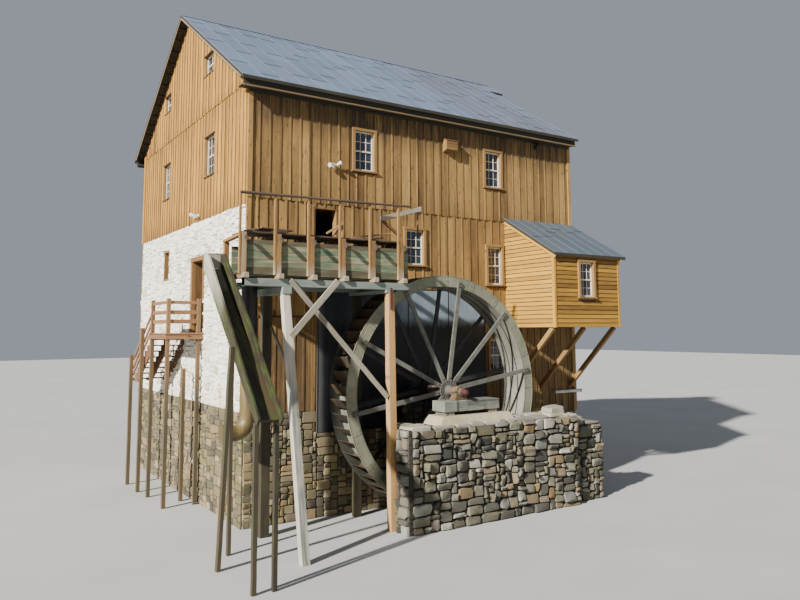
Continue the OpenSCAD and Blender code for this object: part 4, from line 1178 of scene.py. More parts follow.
g = Geo(41)
sheets(g, roof_front, -VO, L + 0.06, 0.0, SL - 0.01, 0.61, 2.4, aux=roof_aux)
sheets(g, roof_back, -VO, L + 0.06, 0.0, SL - 0.01, 0.61, 2.4, aux=roof_aux)
hv = SL - 1.01 / math.cos(AL)
sheets(g, roof_front, L + 0.062, L + 0.85, hv, SL - 0.01, 0.39, 2.4, aux=lambda u: 0.2)
sheets(g, roof_back, L + 0.062, L + 0.85, hv, SL - 0.01, 0.39, 2.4, aux=lambda u: 0.2)
# ridge cap
for wall in (roof_front, roof_back):
    for a, b in ((-VO, 4.0), (3.99, 8.3), (8.29, L + 0.85)):
        vboard(g, wall, a, b, SL - 0.16, SL - 0.004, SL - 0.004, 0.02, 0.028, 0.6, (1, 2, 3), n=1, c=0.002, jit=0.0, aux=0.1)
make(g, "roof_covering", M["roof"])

g = Geo(42)


def bayslope(u, v, d):
    ba = math.atan(1.3 / 2.24)
    y = -2.37 + v * math.cos(ba)
    return (u, y - d * math.sin(ba), bay_at(-2.37) + 0.095 + v * math.sin(ba) + d * math.cos(ba))


bl = 2.37 / math.cos(math.atan(1.3 / 2.24))
sheets(g, bayslope, BX0 - 0.07, BX1 + 0.25, 0.0, bl - 0.02, 0.54, 3.0, rib=0.022)
make(g, "bay_roof_covering", M["bayroof"])

# ------------------------------------------------------------------ eaves and rakes
g, ge = Geo(43), Geo(44)
z1 = roof_at(-0.35) - 0.095
for s in (0, 1):
    yy = lambda a, b: (a, b) if s == 0 else (W - b, W - a)
    for i in range(3):
        xa, xb = -0.297 + i * 4.14, -0.297 + (i + 1) * 4.14 - 0.004
        xb = min(xb, L + 0.015)
        a, b = yy(-0.38, -0.34)
        tb(g, xa * 1000, xb * 1000, a * 1000, b * 1000, (z1 - 0.205) * 1000, (z1 - 0.02) * 1000, n=12, tone=0.3)
        a, b = yy(-0.405, -0.35)
        tb(ge, xa * 1000, xb * 1000, a * 1000, b * 1000, (z1 - 0.25) * 1000, (z1 - 0.205) * 1000, n=12, tone=0.35, aux=0.35)
    for j in range(2):
        a, b = yy(-0.338 + j * 0.17, -0.338 + (j + 1) * 0.17 - 0.003)
        tb(g, -297, (L + 0.015) * 1000, a * 1000, b * 1000, (z1 - 0.21) * 1000, (z1 - 0.18) * 1000, n=10, tone=0.3)
    a, b = yy(-0.06, 0.0)
    tb(g, 0, L * 1000, a * 1000, b * 1000, (z1 - 0.27) * 1000, (z1 - 0.212) * 1000, n=10, tone=0.4)
for x in (-VO, L + 0.02):
    for s in (-1, 1):
        ya, yb = YR + s * 0.004, YR + s * (YR + 0.3)
        za, zb = roof_at(ya) - 0.095, roof_at(yb) - 0.095
        beam(ge, (x + 0.019, ya, za - 0.03), (x + 0.019, yb, zb - 0.03), 0.038, 0.052, up=(0, 0, 1), n=16, tone=0.7)
        beam(g, (x + 0.022, ya, za - 0.067), (x + 0.022, yb, zb - 0.067), 0.042, 0.02, up=(0, 0, 1), n=16, tone=0.1)
# slats under the left verge
for s in (-1, 1):
    for i in range(14):
        y = YR + s * (0.35 + i * 0.42)
        z = roof_at(y) - 0.112
        beam(g, (-0.318, y, z), (-0.004, y, z), 0.07, 0.03, up=(0, 0, 1), n=1, tone=0.3, aux=0.0)
make(g, "eave_boards", M["eave"], repl=("eaves_and_rakes",))
make(ge, "eave_edge_strips", M["edge"])

# ------------------------------------------------------------------ bay cladding
g = Geo(51)


def clap(g, wall, ua, ub, z, e, t0, t1, tone, off, uta=None, utb=None):
    """One clapboard: thin at its head, thick at its butt; its ends may be cut to a slope."""
    r = g.r
    n = 5
    uta = ua if uta is None else uta
    utb = ub if utb is None else utb
    vs, gs, ax = [], [], []
    ts = lambda v: t0 + (t1 - t0) * v / (e + 0.02)
    # The third value of each profile point is its aux: full under the butt and in a band near the head where the next
    # butt laps over, painted shade under each clapboard; 0.25 at the butt's arris.
    prof = ((0, 0, 1.0), (0, t0 - 0.003, 1.0), (0.003, t0, 0.25), (0.010, ts(0.010), 0.0), (e - 0.026, ts(e - 0.026), 0.0),
            (e - 0.017, ts(e - 0.017), 1.0), (e + 0.02, t1, 1.0), (e + 0.02, 0, 1.0))
    m = len(prof)
    for i in range(n + 1):
        t = i / n
        j = 0 if i in (0, n) else r.uniform(-0.0015, 0.0015)
        for (v, d, q) in prof:
            ax.append(q)
            k = v / (e + 0.02)
            lo = ua + (uta - ua) * k
            hi = ub + (utb - ub) * k
            u = lo + (hi - lo) * t
            vs.append(wall(u, z + v + j, d + (j if d > 0 else 0)))
            gs.append((off[0] + u, off[1] + v, off[2]))
    fs = [tuple(range(m)), tuple(range(n * m, n * m + m))]
    for i in range(n):
        for q in range(m):
            fs.append((i * m + q, i * m + (q + 1) % m, (i + 1) * m + (q + 1) % m, (i + 1) * m + q))
    g.put(vs, fs, gs, tone, ax)


def wbl(u, z, d):
    return (BX0 - d, u, z)


def wbr(u, z, d):
    return (BX1 + d, u, z)


EXPO = 0.1345  # exposure
bz0 = 5.09
bw0, bw1, bwz0, bwz1 = grow(BAY_WIN, 0.085)
for wall, front in ((wbay, True), (wbl, False), (wbr, False)):
    z = bz0
    while z < 8.7:
        off = (g.r.uniform(0, 30), g.r.uniform(0, 30), 0)
        # Front clapboards take darker tones than the side ones: painted shade on the front, which the light only
        # grazes.
        tone = min(1, max(0, g.r.gauss(0.28 if front else 0.68, 0.16)))
        e = EXPO
        if front:
            top = bay_at(BY) + 0.0
            if z + e > top:
                e = top - z - 0.02
            if e > 0.03:
                segs = [(BX0 + 0.0, BX1 - 0.0)]
                if z + e > bwz0 and z < bwz1:
                    segs = [(BX0, bw0), (bw1, BX1)]
                for a, b in segs:
                    clap(g, wall, a, b, z, e, 0.024, 0.008, tone, off)
        else:
            def y_lim(zz):
                return max(BY, (zz - 8.64) * 2.24 / 1.3)
            ya, yt = y_lim(z + 0.01), y_lim(z + e + 0.03)
            if ya < -0.08 and yt < -0.02:
                clap(g, wall, ya + 0.004, -0.03, z, e, 0.024, 0.008, tone, off, uta=yt + 0.004, utb=-0.03)
        z += EXPO
# corner boards and top boards
tb(g, 9003, 9085, -2272, -2240, 5078, 7330, n=6, tone=0.8)
tb(g, 8998, 9030, -2272, -2165, 5078, 7360, n=6, tone=0.9)
tb(g, 11875, 11957, -2272, -2240, 5078, 7330, n=6, tone=0.6)
tb(g, 11930, 11962, -2272, -2165, 5078, 7360, n=6, tone=0.6)
for x in (8.985, 11.955):
    beam(g, (x, -2.36, bay_at(-2.36) - 0.035), (x, -0.06, bay_at(-0.06) - 0.035), 0.035, 0.085, n=8, tone=0.95)
tb(g, 8970, 12170, -2368, -2335, 7275, 7345, n=8, tone=0.15, aux=0.6)
make(g, "bay_cladding", M["bay"])

g = Geo(52)
tb(g, 9030, 11930, -2238, -2100, 5092, 5240, n=8, tone=0.5)
for i in range(13):
    y = -2095 + i * 160
    tb(g, 9032, 11928, y, y + 157, 5200, 5240, n=6, tone=None)
for x in (9032, 9760, 10480, 11200, 11860):
    tb(g, x, x + 68, -2095, -2, 5092, 5198, n=4)
for x in (9050, 10390, 11790):
    barx(g, x, x + 120, (-2065, 5072), (-40, 3090), 140, n=6, tone=0.8 if x < 10000 else 0.5)
    tb(g, x - 6, x + 126, -62, -2, 2980, 3180, n=1, tone=0.4)
make(g, "bay_floor_and_braces", M["trim"], repl=("bay_frame",))

# ------------------------------------------------------------------ entrance
g = Geo(61)
x0, x1 = -0.035, 0.335
for y in (d0 + 0.005, d1 - 0.155):
    for i in range(3):
        tb(g, (x0 + i * 0.123) * 1000, (x0 + (i + 1) * 0.123 - 0.003) * 1000, y * 1000, (y + 0.15) * 1000, 5003, 7180, n=5, tone=None)
for i in range(3):
    tb(g, (x0 + i * 0.123) * 1000, (x0 + (i + 1) * 0.123 - 0.003) * 1000, (d0 + 0.005) * 1000, (d1 - 0.005) * 1000, 7184, 7326, n=3, tone=0.4)
for z in (5.25, 6.15, 7.05):
    tb(g, 397, 407, 4650, 4678, z * 1000 - 14, z * 1000 - 2, n=1, ch=0.001, tone=0.1)
    tb(g, 392, 412, 4660, 4678, z * 1000 - 30, z * 1000 + 100, n=1, ch=0.002, tone=0.1)
make(g, "entrance_casing", M["new"], repl=("entrance_frame",))
g = Geo(62)
pl = 7
yw = (4.650 - 3.380) / pl
for i in range(pl):
    tb(g, 347, 378, (3.380 + i * yw) * 1000, (3.380 + (i + 1) * yw - 0.004) * 1000, 5010, 7308, n=6, tone=None)
for z in (5.25, 6.15, 7.05):
    tb(g, 378, 400, 3420, 4600, z * 1000 - 20, z * 1000 + 110, n=5, tone=0.3)
beam(g, (0.389, 3.5, 5.38), (0.389, 4.55, 6.10), 0.02, 0.11, n=5, tone=0.5)
make(g, "door_boards", M["door"], body="door", repl=("entrance_door",))


# ------------------------------------------------------------------ metal bits
def disc(g, c, ax, r, h, n=24, tone=0.5, ch=0.004, off=0.0):
    """A turned disc or bolt head: centre of its foot, axis, radius and height."""
    c, ax = Vector(c), Vector(ax).normalized()
    s = ax.orthogonal().normalized()
    t = ax.cross(s)
    ch = min(ch, r * 0.4, h * 0.4)
    vs, gs = [], []
    for (rr, hh) in ((r, 0), (r, h - ch), (r - ch, h)):
        for i in range(n):
            a = 2 * math.pi * i / n + off
            q = c + ax * hh + s * (rr * math.cos(a)) + t * (rr * math.sin(a))
            vs.append((q.x, q.y, q.z))
            gs.append((q.x, q.y, q.z))
    fs = [tuple(range(n)), tuple(range(2 * n, 3 * n))]
    for k in range(2):
        for i in range(n):
            fs.append((k * n + i, k * n + (i + 1) % n, (k + 1) * n + (i + 1) % n, (k + 1) * n + i))
    g.put(vs, fs, gs, tone, 0.0)


def bolt(g, c, ax, r=0.018):
    disc(g, c, ax, r * 1.55, 0.004, n=12, tone=0.4, ch=0.001)
    c2 = Vector(c) + Vector(ax).normalized() * 0.003
    disc(g, c2, ax, r, r * 0.8, n=6, tone=0.6, ch=0.002, off=g.r.random())
    disc(g, Vector(c2) + Vector(ax).normalized() * r * 0.7, ax, r * 0.5, r * 0.7, n=8, tone=0.5, ch=0.001)


# strap hinges, latch and pins of the door
g = Geo(63)
for z in (5.25, 6.15, 7.05):
    tb(g, 400, 405, 3760, 4640, z * 1000 + 22, z * 1000 + 66, n=3, ch=0.002, tone=0.5)
    disc(g, (0.402, 4.650, z), (0, 0, 1), 0.012, 0.09, n=20)
    for y in (3.80, 4.10, 4.40):
        bolt(g, (0.405, y, z + 0.044), (1, 0, 0), 0.009)
disc(g, (0.347, 3.47, 6.05), (-1, 0, 0), 0.028, 0.006, n=20)
tb(g, 336, 347, 3462, 3478, 5960, 6090, n=1, ch=0.003)
make(g, "door_ironwork", M["iron"], body="door", smooth=35)

# ------------------------------------------------------------------ landing and stair
LX, LY0, LY1, DZ = -1145, 3270, 5180, 4965
ST_N, RISE, RUN = 8, 188, 290
g = Geo(71)
n = 13
w = (LY1 - LY0 + 40) / n
for i in range(n):
    tb(g, LX - 22, -4, LY0 - 20 + i * w, LY0 - 20 + (i + 1) * w - 5, DZ - 36, DZ, n=4, jit=0.002, tone=None)
tb(g, LX, -2, LY0, LY0 + 38, DZ - 180, DZ - 38, n=6, tone=0.75)
tb(g, LX, LX + 38, LY0 + 40, LY1, DZ - 180, DZ - 38, n=6, tone=0.6)
tb(g, LX + 40, -2, LY1 - 38, LY1, DZ - 180, DZ - 38, n=6, tone=0.5)
for y in (3560, 3980, 4400, 4820):
    tb(g, LX + 42, -4, y, y + 44, DZ - 178, DZ - 38, n=3)
disc(g, (-0.46, LY0 / 1000, DZ / 1000 - 0.095), (0, -1, 0), 0.035, 0.004, n=14, tone=-0.6)
disc(g, (-0.40, LY0 / 1000, DZ / 1000 - 0.10), (0, -1, 0), 0.02, 0.003, n=12, tone=-0.6)
make(g, "landing_boards", M["red"], repl=("landing_deck",))
g = Geo(72)
aux_post = lambda x, y, z: max(0, min(1, (3.75 - z) / 0.5))
for q in ((LX + 42, LY0 + 42), (-207, LY0 + 42), (LX + 42, LY1 - 152)):
    box = (q[0], q[0] + 110, q[1], q[1] + 110)
    post(g, box, box, 0, DZ - 40, n=12, tone=0.45, aux=aux_post)
    post(g, box, box, DZ + 1, DZ + 1022, n=5, tone=0.75)
box = (-420, -310, 3970, 4080)
post(g, box, (-424, -314, 3966, 4076), 0, 3900, n=8, tone=0.9, aux=aux_post)
for y, h in ((5925, 5130), (7295, 4240)):
    box = (LX - 45, LX + 65, y, y + 110)
    post(g, box, box, 0, h, n=12, tone=0.45, aux=aux_post)
make(g, "landing_post_timbers", M["post"], repl=("landing_posts",))
g = Geo(73)
for h0, h1 in ((855, 955), (555, 675), (285, 405)):
    tb(g, LX + 154, -209, LY0 + 76, LY0 + 118, DZ + h0, DZ + h1, n=5, jit=0.002, tone=0.7)
    tb(g, LX + 76, LX + 118, LY0 + 154, LY1 - 154, DZ + h0, DZ + h1, n=6, jit=0.002, tone=0.8)
for h in (620, 330, 100):
    barx(g, LX + 67, LX + 107, (LY1 - 8, DZ + h - 20), (7400, DZ + h - 1490), 90, n=8, jit=0.002, tone=0.8)
make(g, "landing_rail_boards", M["red"], repl=("landing_rails",))
g = Geo(74)
for i in range(ST_N):
    y, z = LY1 + 12 + i * RUN, DZ - RISE * (i + 1)
    tb(g, LX + 110, -12, y, y + 134, z - 38, z, n=4, tone=None)
    tb(g, LX + 110, -12, y + 140, y + 282, z - 38, z, n=4, tone=None)
make(g, "stair_tread_boards", M["post"], repl=("stair_treads",))
g = Geo(75)
steps = []
for i in range(ST_N):
    steps += [(LY1 + 2 + i * RUN, DZ - RISE * (i + 1) - 40), (LY1 + 2 + (i + 1) * RUN, DZ - RISE * (i + 1) - 40)]
steps += [(LY1 + ST_N * RUN + 2, 3372), (LY1 + 1640, 3372), (LY1 + 2, DZ - RISE - 380)]
for x in (LX + 112, -600, -60):
    slab(g, steps, "x", x, x + 45, tone=0.3)
    barx(g, x - 4, x + 49, (LY1 + 30, DZ - RISE - 330), (LY1 + 1620, 3440), 70, n=8, tone=0.25)
make(g, "stair_stringer_boards", M["red"], repl=("stair_stringers",))

# ------------------------------------------------------------------ flume
FX0, FX1, FY0, FY1, FZ, FT = -810, 3720, -2150, -500, 6340, 7170
g = Geo(81)
hs = [0, 178, 365, 545, 730, 830]
for s in (0, 1):
    ya, yb = ((FY0, FY0 + 48), (FY1 - 48, FY1))[s]
    lo = FX0 if s == 0 else -590
    for i in range(5):
        tone = (0.35, 0.55, 0.75, 0.6, 0.3)[i]
        for xa, xb in ((lo, FX1 + (0, -14, 0, -8, -20)[i]),):
            tb(g, xa, xb, ya + 2 * (i % 2), yb, FZ + hs[i] + 1, FZ + hs[i + 1] - 4, n=18, jit=0.003,
               tone=tone, aux=(0.9 if i == 4 else (0.8 if i == 0 else 0.0)))
for i in range(9):
    y = FY0 + 50 + i * 172
    tb(g, FX0, FX1, y, y + 169, FZ, FZ + 50, n=8, tone=None, aux=0.3)
# lining boards at the open end
tb(g, FX0 + 2, FX0 + 26, FY0 + 60, FY0 + 250, FZ + 60, 7150, n=5, tone=1.0)
make(g, "flume_planks", M["flume"], repl=("flume_trough",))

YX = [-900 + i * 876 for i in range(6)]
g, gk = Geo(82), Geo(182)
aux_y = lambda x, y, z: max(0, min(0.8, (6.62 - z) / 0.3))
for i, x in enumerate(YX):
    top_z = 8208 + 14.7 * i
    box = (x - 65, x + 65, FY0 - 66, FY0 - 2)
    post(g, box, (box[0], box[1], box[2] + 4, box[3]), FZ, 7330, n=6, tone=0.8, aux=aux_y if i else (lambda a, b, c: 0.6 if a < -0.94 else 0.1))
    barx(gk, x - 8, x + 58, (FY0 - 100, 7222), (FY0 - 236, 7090), 76, n=2, ch=0.006, tone=0.1)
    post(g, (x - 122, x - 67, FY0 - 68, FY0 - 6), (x - 128, x - 70, FY0 - 72, FY0 - 12), FZ + 4, top_z, n=10, jit=3, tone=0.75,
         aux=(lambda a, b, c: max(0, min(0.75, (6.62 - c) / 0.3))) if i else 0.0)
    if i:
        box = (x - 65, x + 65, FY1 + 2, FY1 + 112)
        post(g, box, box, FZ, 7330, n=5, tone=0.5)
        tb(g, x - 60, x + 60, FY0, FY1, 7190, 7330, n=5, jit=0.004, tone=-0.3)
        tb(g, x + 30, x + 64, FY0 + 14, FY0 + 210, 7090, 7186, n=2, jit=0.004, tone=-0.4)
    tb(g, x - 68, x + 68, FY0 - 228, FY1 + 150, 6250, 6338, n=6, jit=0.004, tone=0.6, aux=lambda a, b, c: 0.6 if b < -2.2 else 0.1)
    post(g, (x - 50, x + 74, FY0 - 226, FY0 - 130), (x - 40, x + 60, FY0 - 214, FY0 - 134), 6339, 6376, n=2, jit=4, tone=0.4, aux=0.5)
box = (-760, -632, FY1 + 2, FY1 + 110)
post(g, box, box, FZ, 7262, n=5, tone=0.7)
slab(g, [(-962, FY0), (-832, FY0), (-637, FY1 + 148), (-765, FY1 + 148)], "z", 7265, 7330, tone=0.95)
make(g, "flume_yoke_timbers", M["new"], repl=("flume_yokes",))
make(gk, "flume_yoke_knees", M["walk"])

g = Geo(83)
for y in (-2290, -640):
    slab(g, [(-900, 6070), (3590, 6070), (3770, 6205), (3770, 6248), (-900, 6248)], "y", y, y + 200, tone=0.7)
    bary(g, y - 3, y + 203, (-900, 6160), (3560, 6160), 178, n=14, jit=0.003, tone=0.75)
tb(g, 30, 262, -2335, -420, 5900, 6068, n=5, tone=1.0)
tb(g, 2920, 3140, -2335, -330, 5985, 6068, n=5, tone=0.9)
make(g, "flume_stringers", M["stringer"], repl=("flume_beams",))

g = Geo(84)
for i in range(4):
    y = -2120 + i * 215
    z = 7334 + (i % 2) * 4
    tb(g, -880 + i * 6, 1210 + i * 60, y, y + 190, z, z + 38, n=8, jit=0.004, tone=0.25)
    tb(g, 1216 + i * 60, 3500 - i * 22, y, y + 190, z, z + 38, n=8, jit=0.004, tone=0.35)
beam(g, (-0.76, -1.90, 7.405), (0.26, -1.88, 7.412), 0.21, 0.036, n=5, tone=0.3)
beam(g, (-0.56, -1.85, 7.446), (0.34, -1.84, 7.455), 0.2, 0.036, n=5, tone=0.5)
beam(g, (-0.45, -2.02, 7.475), (0.52, -1.70, 7.49), 0.14, 0.03, n=4, tone=0.9, aux=0.6)
# props of the gate beside the doorway, and a loose pole
beam(g, (1.56, -1.60, 7.52), (2.02, -1.60, 7.80), 0.05, 0.06, up=(0, 1, 0), n=3, tone=0.8, aux=1.0)
beam(g, (1.74, -1.55, 7.38), (1.98, -1.55, 7.74), 0.045, 0.07, up=(0, 1, 0), n=2, tone=0.8, aux=1.0)
beam(g, (2.03, -1.55, 7.38), (2.03, -1.55, 7.78), 0.05, 0.08, up=(0, 1, 0), n=2, tone=0.9, aux=1.0)
beam(g, (2.2, -1.75, 7.43), (3.42, -1.75, 7.62), 0.045, 0.05, n=4, tone=0.7, aux=0.9)
beam(g, (2.55, -1.9, 7.40), (3.10, -1.86, 7.47), 0.12, 0.05, n=3, tone=0.2)
make(g, "flume_walk_planks", M["walk"], repl=("flume_walkway",))

g = Geo(85)
rings = []
ns, nn = 28, 14
for i in range(ns + 1):
    t = i / ns
    x = -1.02 + 4.78 * t
    cy_, cz_ = -2.226 + 0.006 * math.sin(9 * t), 8.248 + 0.0803 * t + 0.006 * math.sin(5 * t + 1)
    rad = 0.036 + 0.004 * math.sin(13 * t) - 0.004 * t
    rings.append([(x, cy_ + rad * (1 + 0.05 * math.sin(6 * math.pi * j / nn + 7 * t)) * math.cos(2 * math.pi * j / nn),
                   cz_ + rad * (1 + 0.05 * math.sin(6 * math.pi * j / nn + 7 * t)) * math.sin(2 * math.pi * j / nn)) for j in range(nn)])
loft(g, rings, tone=0.4)
make(g, "handrail_pole", M["walk"], repl=("flume_handrail",), smooth=50)

g = Geo(86)
bary(g, -2030, -1950, (2960, 7960), (4240, 8330), 120, n=6, jit=0.004, tone=0.75)
tb(g, 4205, 4260, -2042, -1938, 8250, 8395, n=1, tone=0.5)
make(g, "lever_timbers", M["grey"], repl=("gate_lever",))
g = Geo(99)
bary(g, -2030, -1950, (3010, 7920), (3560, 7530), 65, n=3, jit=0.003, tone=0.2)
post(g, (4172, 4208, -1946, -1904), (4166, 4214, -1948, -1902), 7690, 8330, n=4, tone=0.5)
make(g, "lever_rod_and_strut", M["door"])

g = Geo(87)
# Darker towards the foot, weaker on the leg's left face: partly a green stain at the foot, partly a painted cast
# shadow.
leg_stain_and_shadow = lambda x, y, z: max(0, min(1, (4.5 - z) / 1.2)) * (0.8 if x > 0.053 else 0.3)
post(g, (50, 240, -3498, -3314), (50, 240, -2299, -2114), 0, 5898, n=18, jit=4, tone=0.9, aux=leg_stain_and_shadow)
make(g, "trestle_front_leg", M["pale"], repl=("trestle_legs",))
g = Geo(88)
post(g, (3040, 3262, -2335, -2145), (2978, 3165, -2335, -2145), 0, 5983, n=18, jit=3, tone=0.9,
     aux=lambda x, y, z: (0.45 if x < 3.0 + (6 - z) * 0.013 else 0.0) if z > 0.8 else 0.5)
make(g, "trestle_wheel_post", M["orange"])
g = Geo(98)
# The back posts take the near-black wet wood: painted shade behind the trestle.
post(g, (100, 335, -1010, -790), (100, 335, -1010, -790), 0, 5898, n=16, jit=4, tone=0.3)
post(g, (3000, 3200, -590, -390), (3000, 3200, -590, -390), 0, 5983, n=14, jit=3, tone=0.4)
make(g, "trestle_back_posts", M["legdark"])
g = Geo(97)
post(g, (3020, 3092, -2372, -2337), (3012, 3084, -2372, -2337), 5560, 6110, n=4, jit=2, tone=0.5)
make(g, "post_cleat", M["redend"], smooth=30)

g = Geo(89)
th = math.radians(9.7)
A, B = Vector((1.50, 0, 0.040)), Vector((0.15, 0, -1.333))
rot = Matrix.Rotation(-th, 3, "X")
pa = Vector((0, -2.312, 6.2)) + rot @ (A + Vector((0, -0.025, 0)))
pb = Vector((0, -2.312, 6.2)) + rot @ (B + Vector((0, -0.025, 0)))
beam(g, pa, pb, 0.05, 0.15, up=Vector((0, -1, 0)).cross((pb - pa).normalized()), n=8, jit=0.003, tone=0.9)
bary(g, -2346, -2292, (224, 6225), (2950, 3330), 118, n=12, jit=0.003, tone=0.65,
     aux=lambda x, y, z: 0.0)
q = Vector((0.31, -0.90, 0))
ca, sa = math.cos(math.radians(-8.7)), math.sin(math.radians(-8.7))
turn = lambda x, y, z: (q.x + x * ca - y * sa, q.y + x * sa + y * ca, z)
beam(g, turn(0, -0.142, 5.136), turn(0, -1.508, 4.337), 0.04, 0.10, n=5, jit=0.003, tone=0.5)
make(g, "trestle_brace_timbers", M["grey"], repl=("trestle_braces",))

# ------------------------------------------------------------------ spill chute
g = Geo(91)
aux_ch = lambda x, y, z: max(0, min(1, (z - 5.55) / 0.5))


def side_board(g, x_at, th, tone, n=26, aux=0.0):
    rings = []
    for i in range(n + 1):
        t = i / n
        ylo, zlo = -1.24 - 3.40 * t, 6.48 - 3.30 * t
        if t < 0.05:
            yhi, zhi = -1.24 - 0.26 * (t / 0.05), 6.86
        else:
            k = (t - 0.05) / 0.95
            yhi, zhi = -1.50 - 3.26 * k, 6.86 - 3.53 * k
        wv = g.r.uniform(-0.006, 0.006) if 0 < i < n else 0
        sx = g.r.uniform(-0.003, 0.003)
        rings.append([(x_at(ylo) + sx, ylo, zlo + wv * 0.5), (x_at(ylo) + th + sx, ylo, zlo + wv * 0.5),
                      (x_at(yhi) + th + sx, yhi, zhi + wv), (x_at(yhi) + sx, yhi, zhi + wv)])
    loft(g, rings, tone, aux)


side_board(g, lambda y: -1.52, 0.045, 0.3, aux=aux_ch)
side_board(g, lambda y: -1.12 + (-1.24 - y) * math.tan(math.radians(1.7)), 0.045, 0.1)
for i in range(3):
    rings = []
    for j in range(17):
        t = j / 16
        y, z = -1.292 - 3.287 * t, 6.485 - 3.219 * t
        xr = -1.124 + 0.099 * t
        xa = -1.473 + (xr + 1.473) * i / 3 + 0.002
        xb = -1.473 + (xr + 1.473) * (i + 1) / 3 - 0.002
        rings.append([(xa, y - 0.0175, z + 0.0179), (xb, y - 0.0175, z + 0.0179), (xb, y + 0.0175, z - 0.0179), (xa, y + 0.0175, z - 0.0179)])
    loft(g, rings, None, lambda x, y, z: 0.35 if z > 6.0 else 0.0)
tb(g, -1472, -1125, -1284, -1240, 6509, 6858, n=3, tone=0.9, aux=1.0)
tb(g, -1522, -1070, -1290, -1236, 6860, 6884, n=3, tone=1.0, aux=1.0)
make(g, "chute_boards", M["moss"], repl=("spill_chute",))
g = Geo(92)
post(g, (-1612, -1523, -2830, -2700), (-1612, -1523, -3415, -3296), 0, 4700, n=16, jit=4, tone=0.9)
post(g, (-1518, -1422, -4558, -4462), (-1518, -1422, -4558, -4462), 0, 3238, n=10, jit=3)
post(g, (-1088, -992, -4558, -4462), (-1088, -992, -4558, -4462), 0, 3238, n=10, jit=3)
post(g, (-1050, -960, -1900, -1800), (-1050, -960, -1900, -1800), 0, 6238, n=14, jit=3)
make(g, "chute_leg_timbers", M["legdark"], repl=("chute_legs",))

# ------------------------------------------------------------------ wheel
g = Geo(101)


def polar(r, a, y):
    return (HUBX + r * math.cos(a), y, HUBZ + r * math.sin(a))


for side, (y, ny) in enumerate(((WY0 - 0.045, -1), (WY1 + 0.045, 1))):
    for i in range(10):
        a = math.radians(9 + 36 * i)
        s = Vector((-math.sin(a), 0, math.cos(a)))
        for rr in (2.93, 3.02):
            for o in (-0.03, 0.03):
                bolt(g, Vector(polar(rr, a, y)) + s * o, (0, ny, 0), 0.014)
        for rr in (0.345,):
            bolt(g, polar(rr, a, y), (0, ny, 0), 0.017)
    yr_ = WY0 if side == 0 else WY1
    for i in range(20):
        a = math.radians(18 * i)
        for rr in (2.935, 3.05, 3.165):
            for o in (-0.045, 0.045):
                b = a + o / rr
                if any(abs(((math.degrees(b) - 9 - 36 * k + 180) % 360) - 180) < 2.2 for k in range(10)) and rr < 3.1:
                    continue
                bolt(g, polar(rr, b, yr_), (0, ny, 0), 0.011)
make(g, "wheel_bolts", M["bolt"], body="wheel", smooth=35)

g = Geo(102)


def arc_plate(g, r0, r1, a0, a1, y0, y1, n=6, tone=0.5):
    """A plate bent to the wheel's circle: radii, angles and its two faces."""
    vs, gs = [], []
    for i in range(n + 1):
        a = a0 + (a1 - a0) * i / n
        for (rr, y) in ((r0, y0), (r1, y0), (r1, y1), (r0, y1)):
            vs.append(polar(rr, a, y))
            gs.append((rr, a * rr, y))
    fs = [(0, 1, 2, 3), (n * 4, n * 4 + 1, n * 4 + 2, n * 4 + 3)]
    for i in range(n):
        for j in range(4):
            fs.append((i * 4 + j, i * 4 + (j + 1) % 4, (i + 1) * 4 + (j + 1) % 4, (i + 1) * 4 + j))
    g.put(vs, fs, gs, tone, 0.0)


for y, s in ((WY0, -1), (WY1, 1)):
    for i in range(20):
        a = math.radians(18 * i)
        arc_plate(g, 2.903, 3.196, a - 0.022, a + 0.022, min(y, y + s * 0.006), max(y, y + s * 0.006), n=2)
    arc_plate(g, 3.188, 3.200, 0, 2 * math.pi, min(y - s * 0.01, y + s * 0.008), max(y - s * 0.01, y + s * 0.008), n=180)
    arc_plate(g, 2.893, 2.905, 0, 2 * math.pi, min(y - s * 0.01, y + s * 0.008), max(y - s * 0.01, y + s * 0.008), n=180)
make(g, "wheel_ring_straps", M["wheel"], body="wheel", smooth=35)
g = Geo(103)
for y in (WY0 + 0.30, WY0 + 0.61):
    arc_plate(g, 2.887, 2.899, 0, 2 * math.pi, y - 0.014, y + 0.014, n=180)
make(g, "sole_seams", M["iron"], body="wheel", smooth=35)

def ring_plate(g, r0, r1, y, ny, h, n=60, tone=0.5):
    arc_plate(g, r0, r1, 0, 2 * math.pi * (n - 0.02) / n, min(y, y + ny * h), max(y, y + ny * h), n=n, tone=tone)


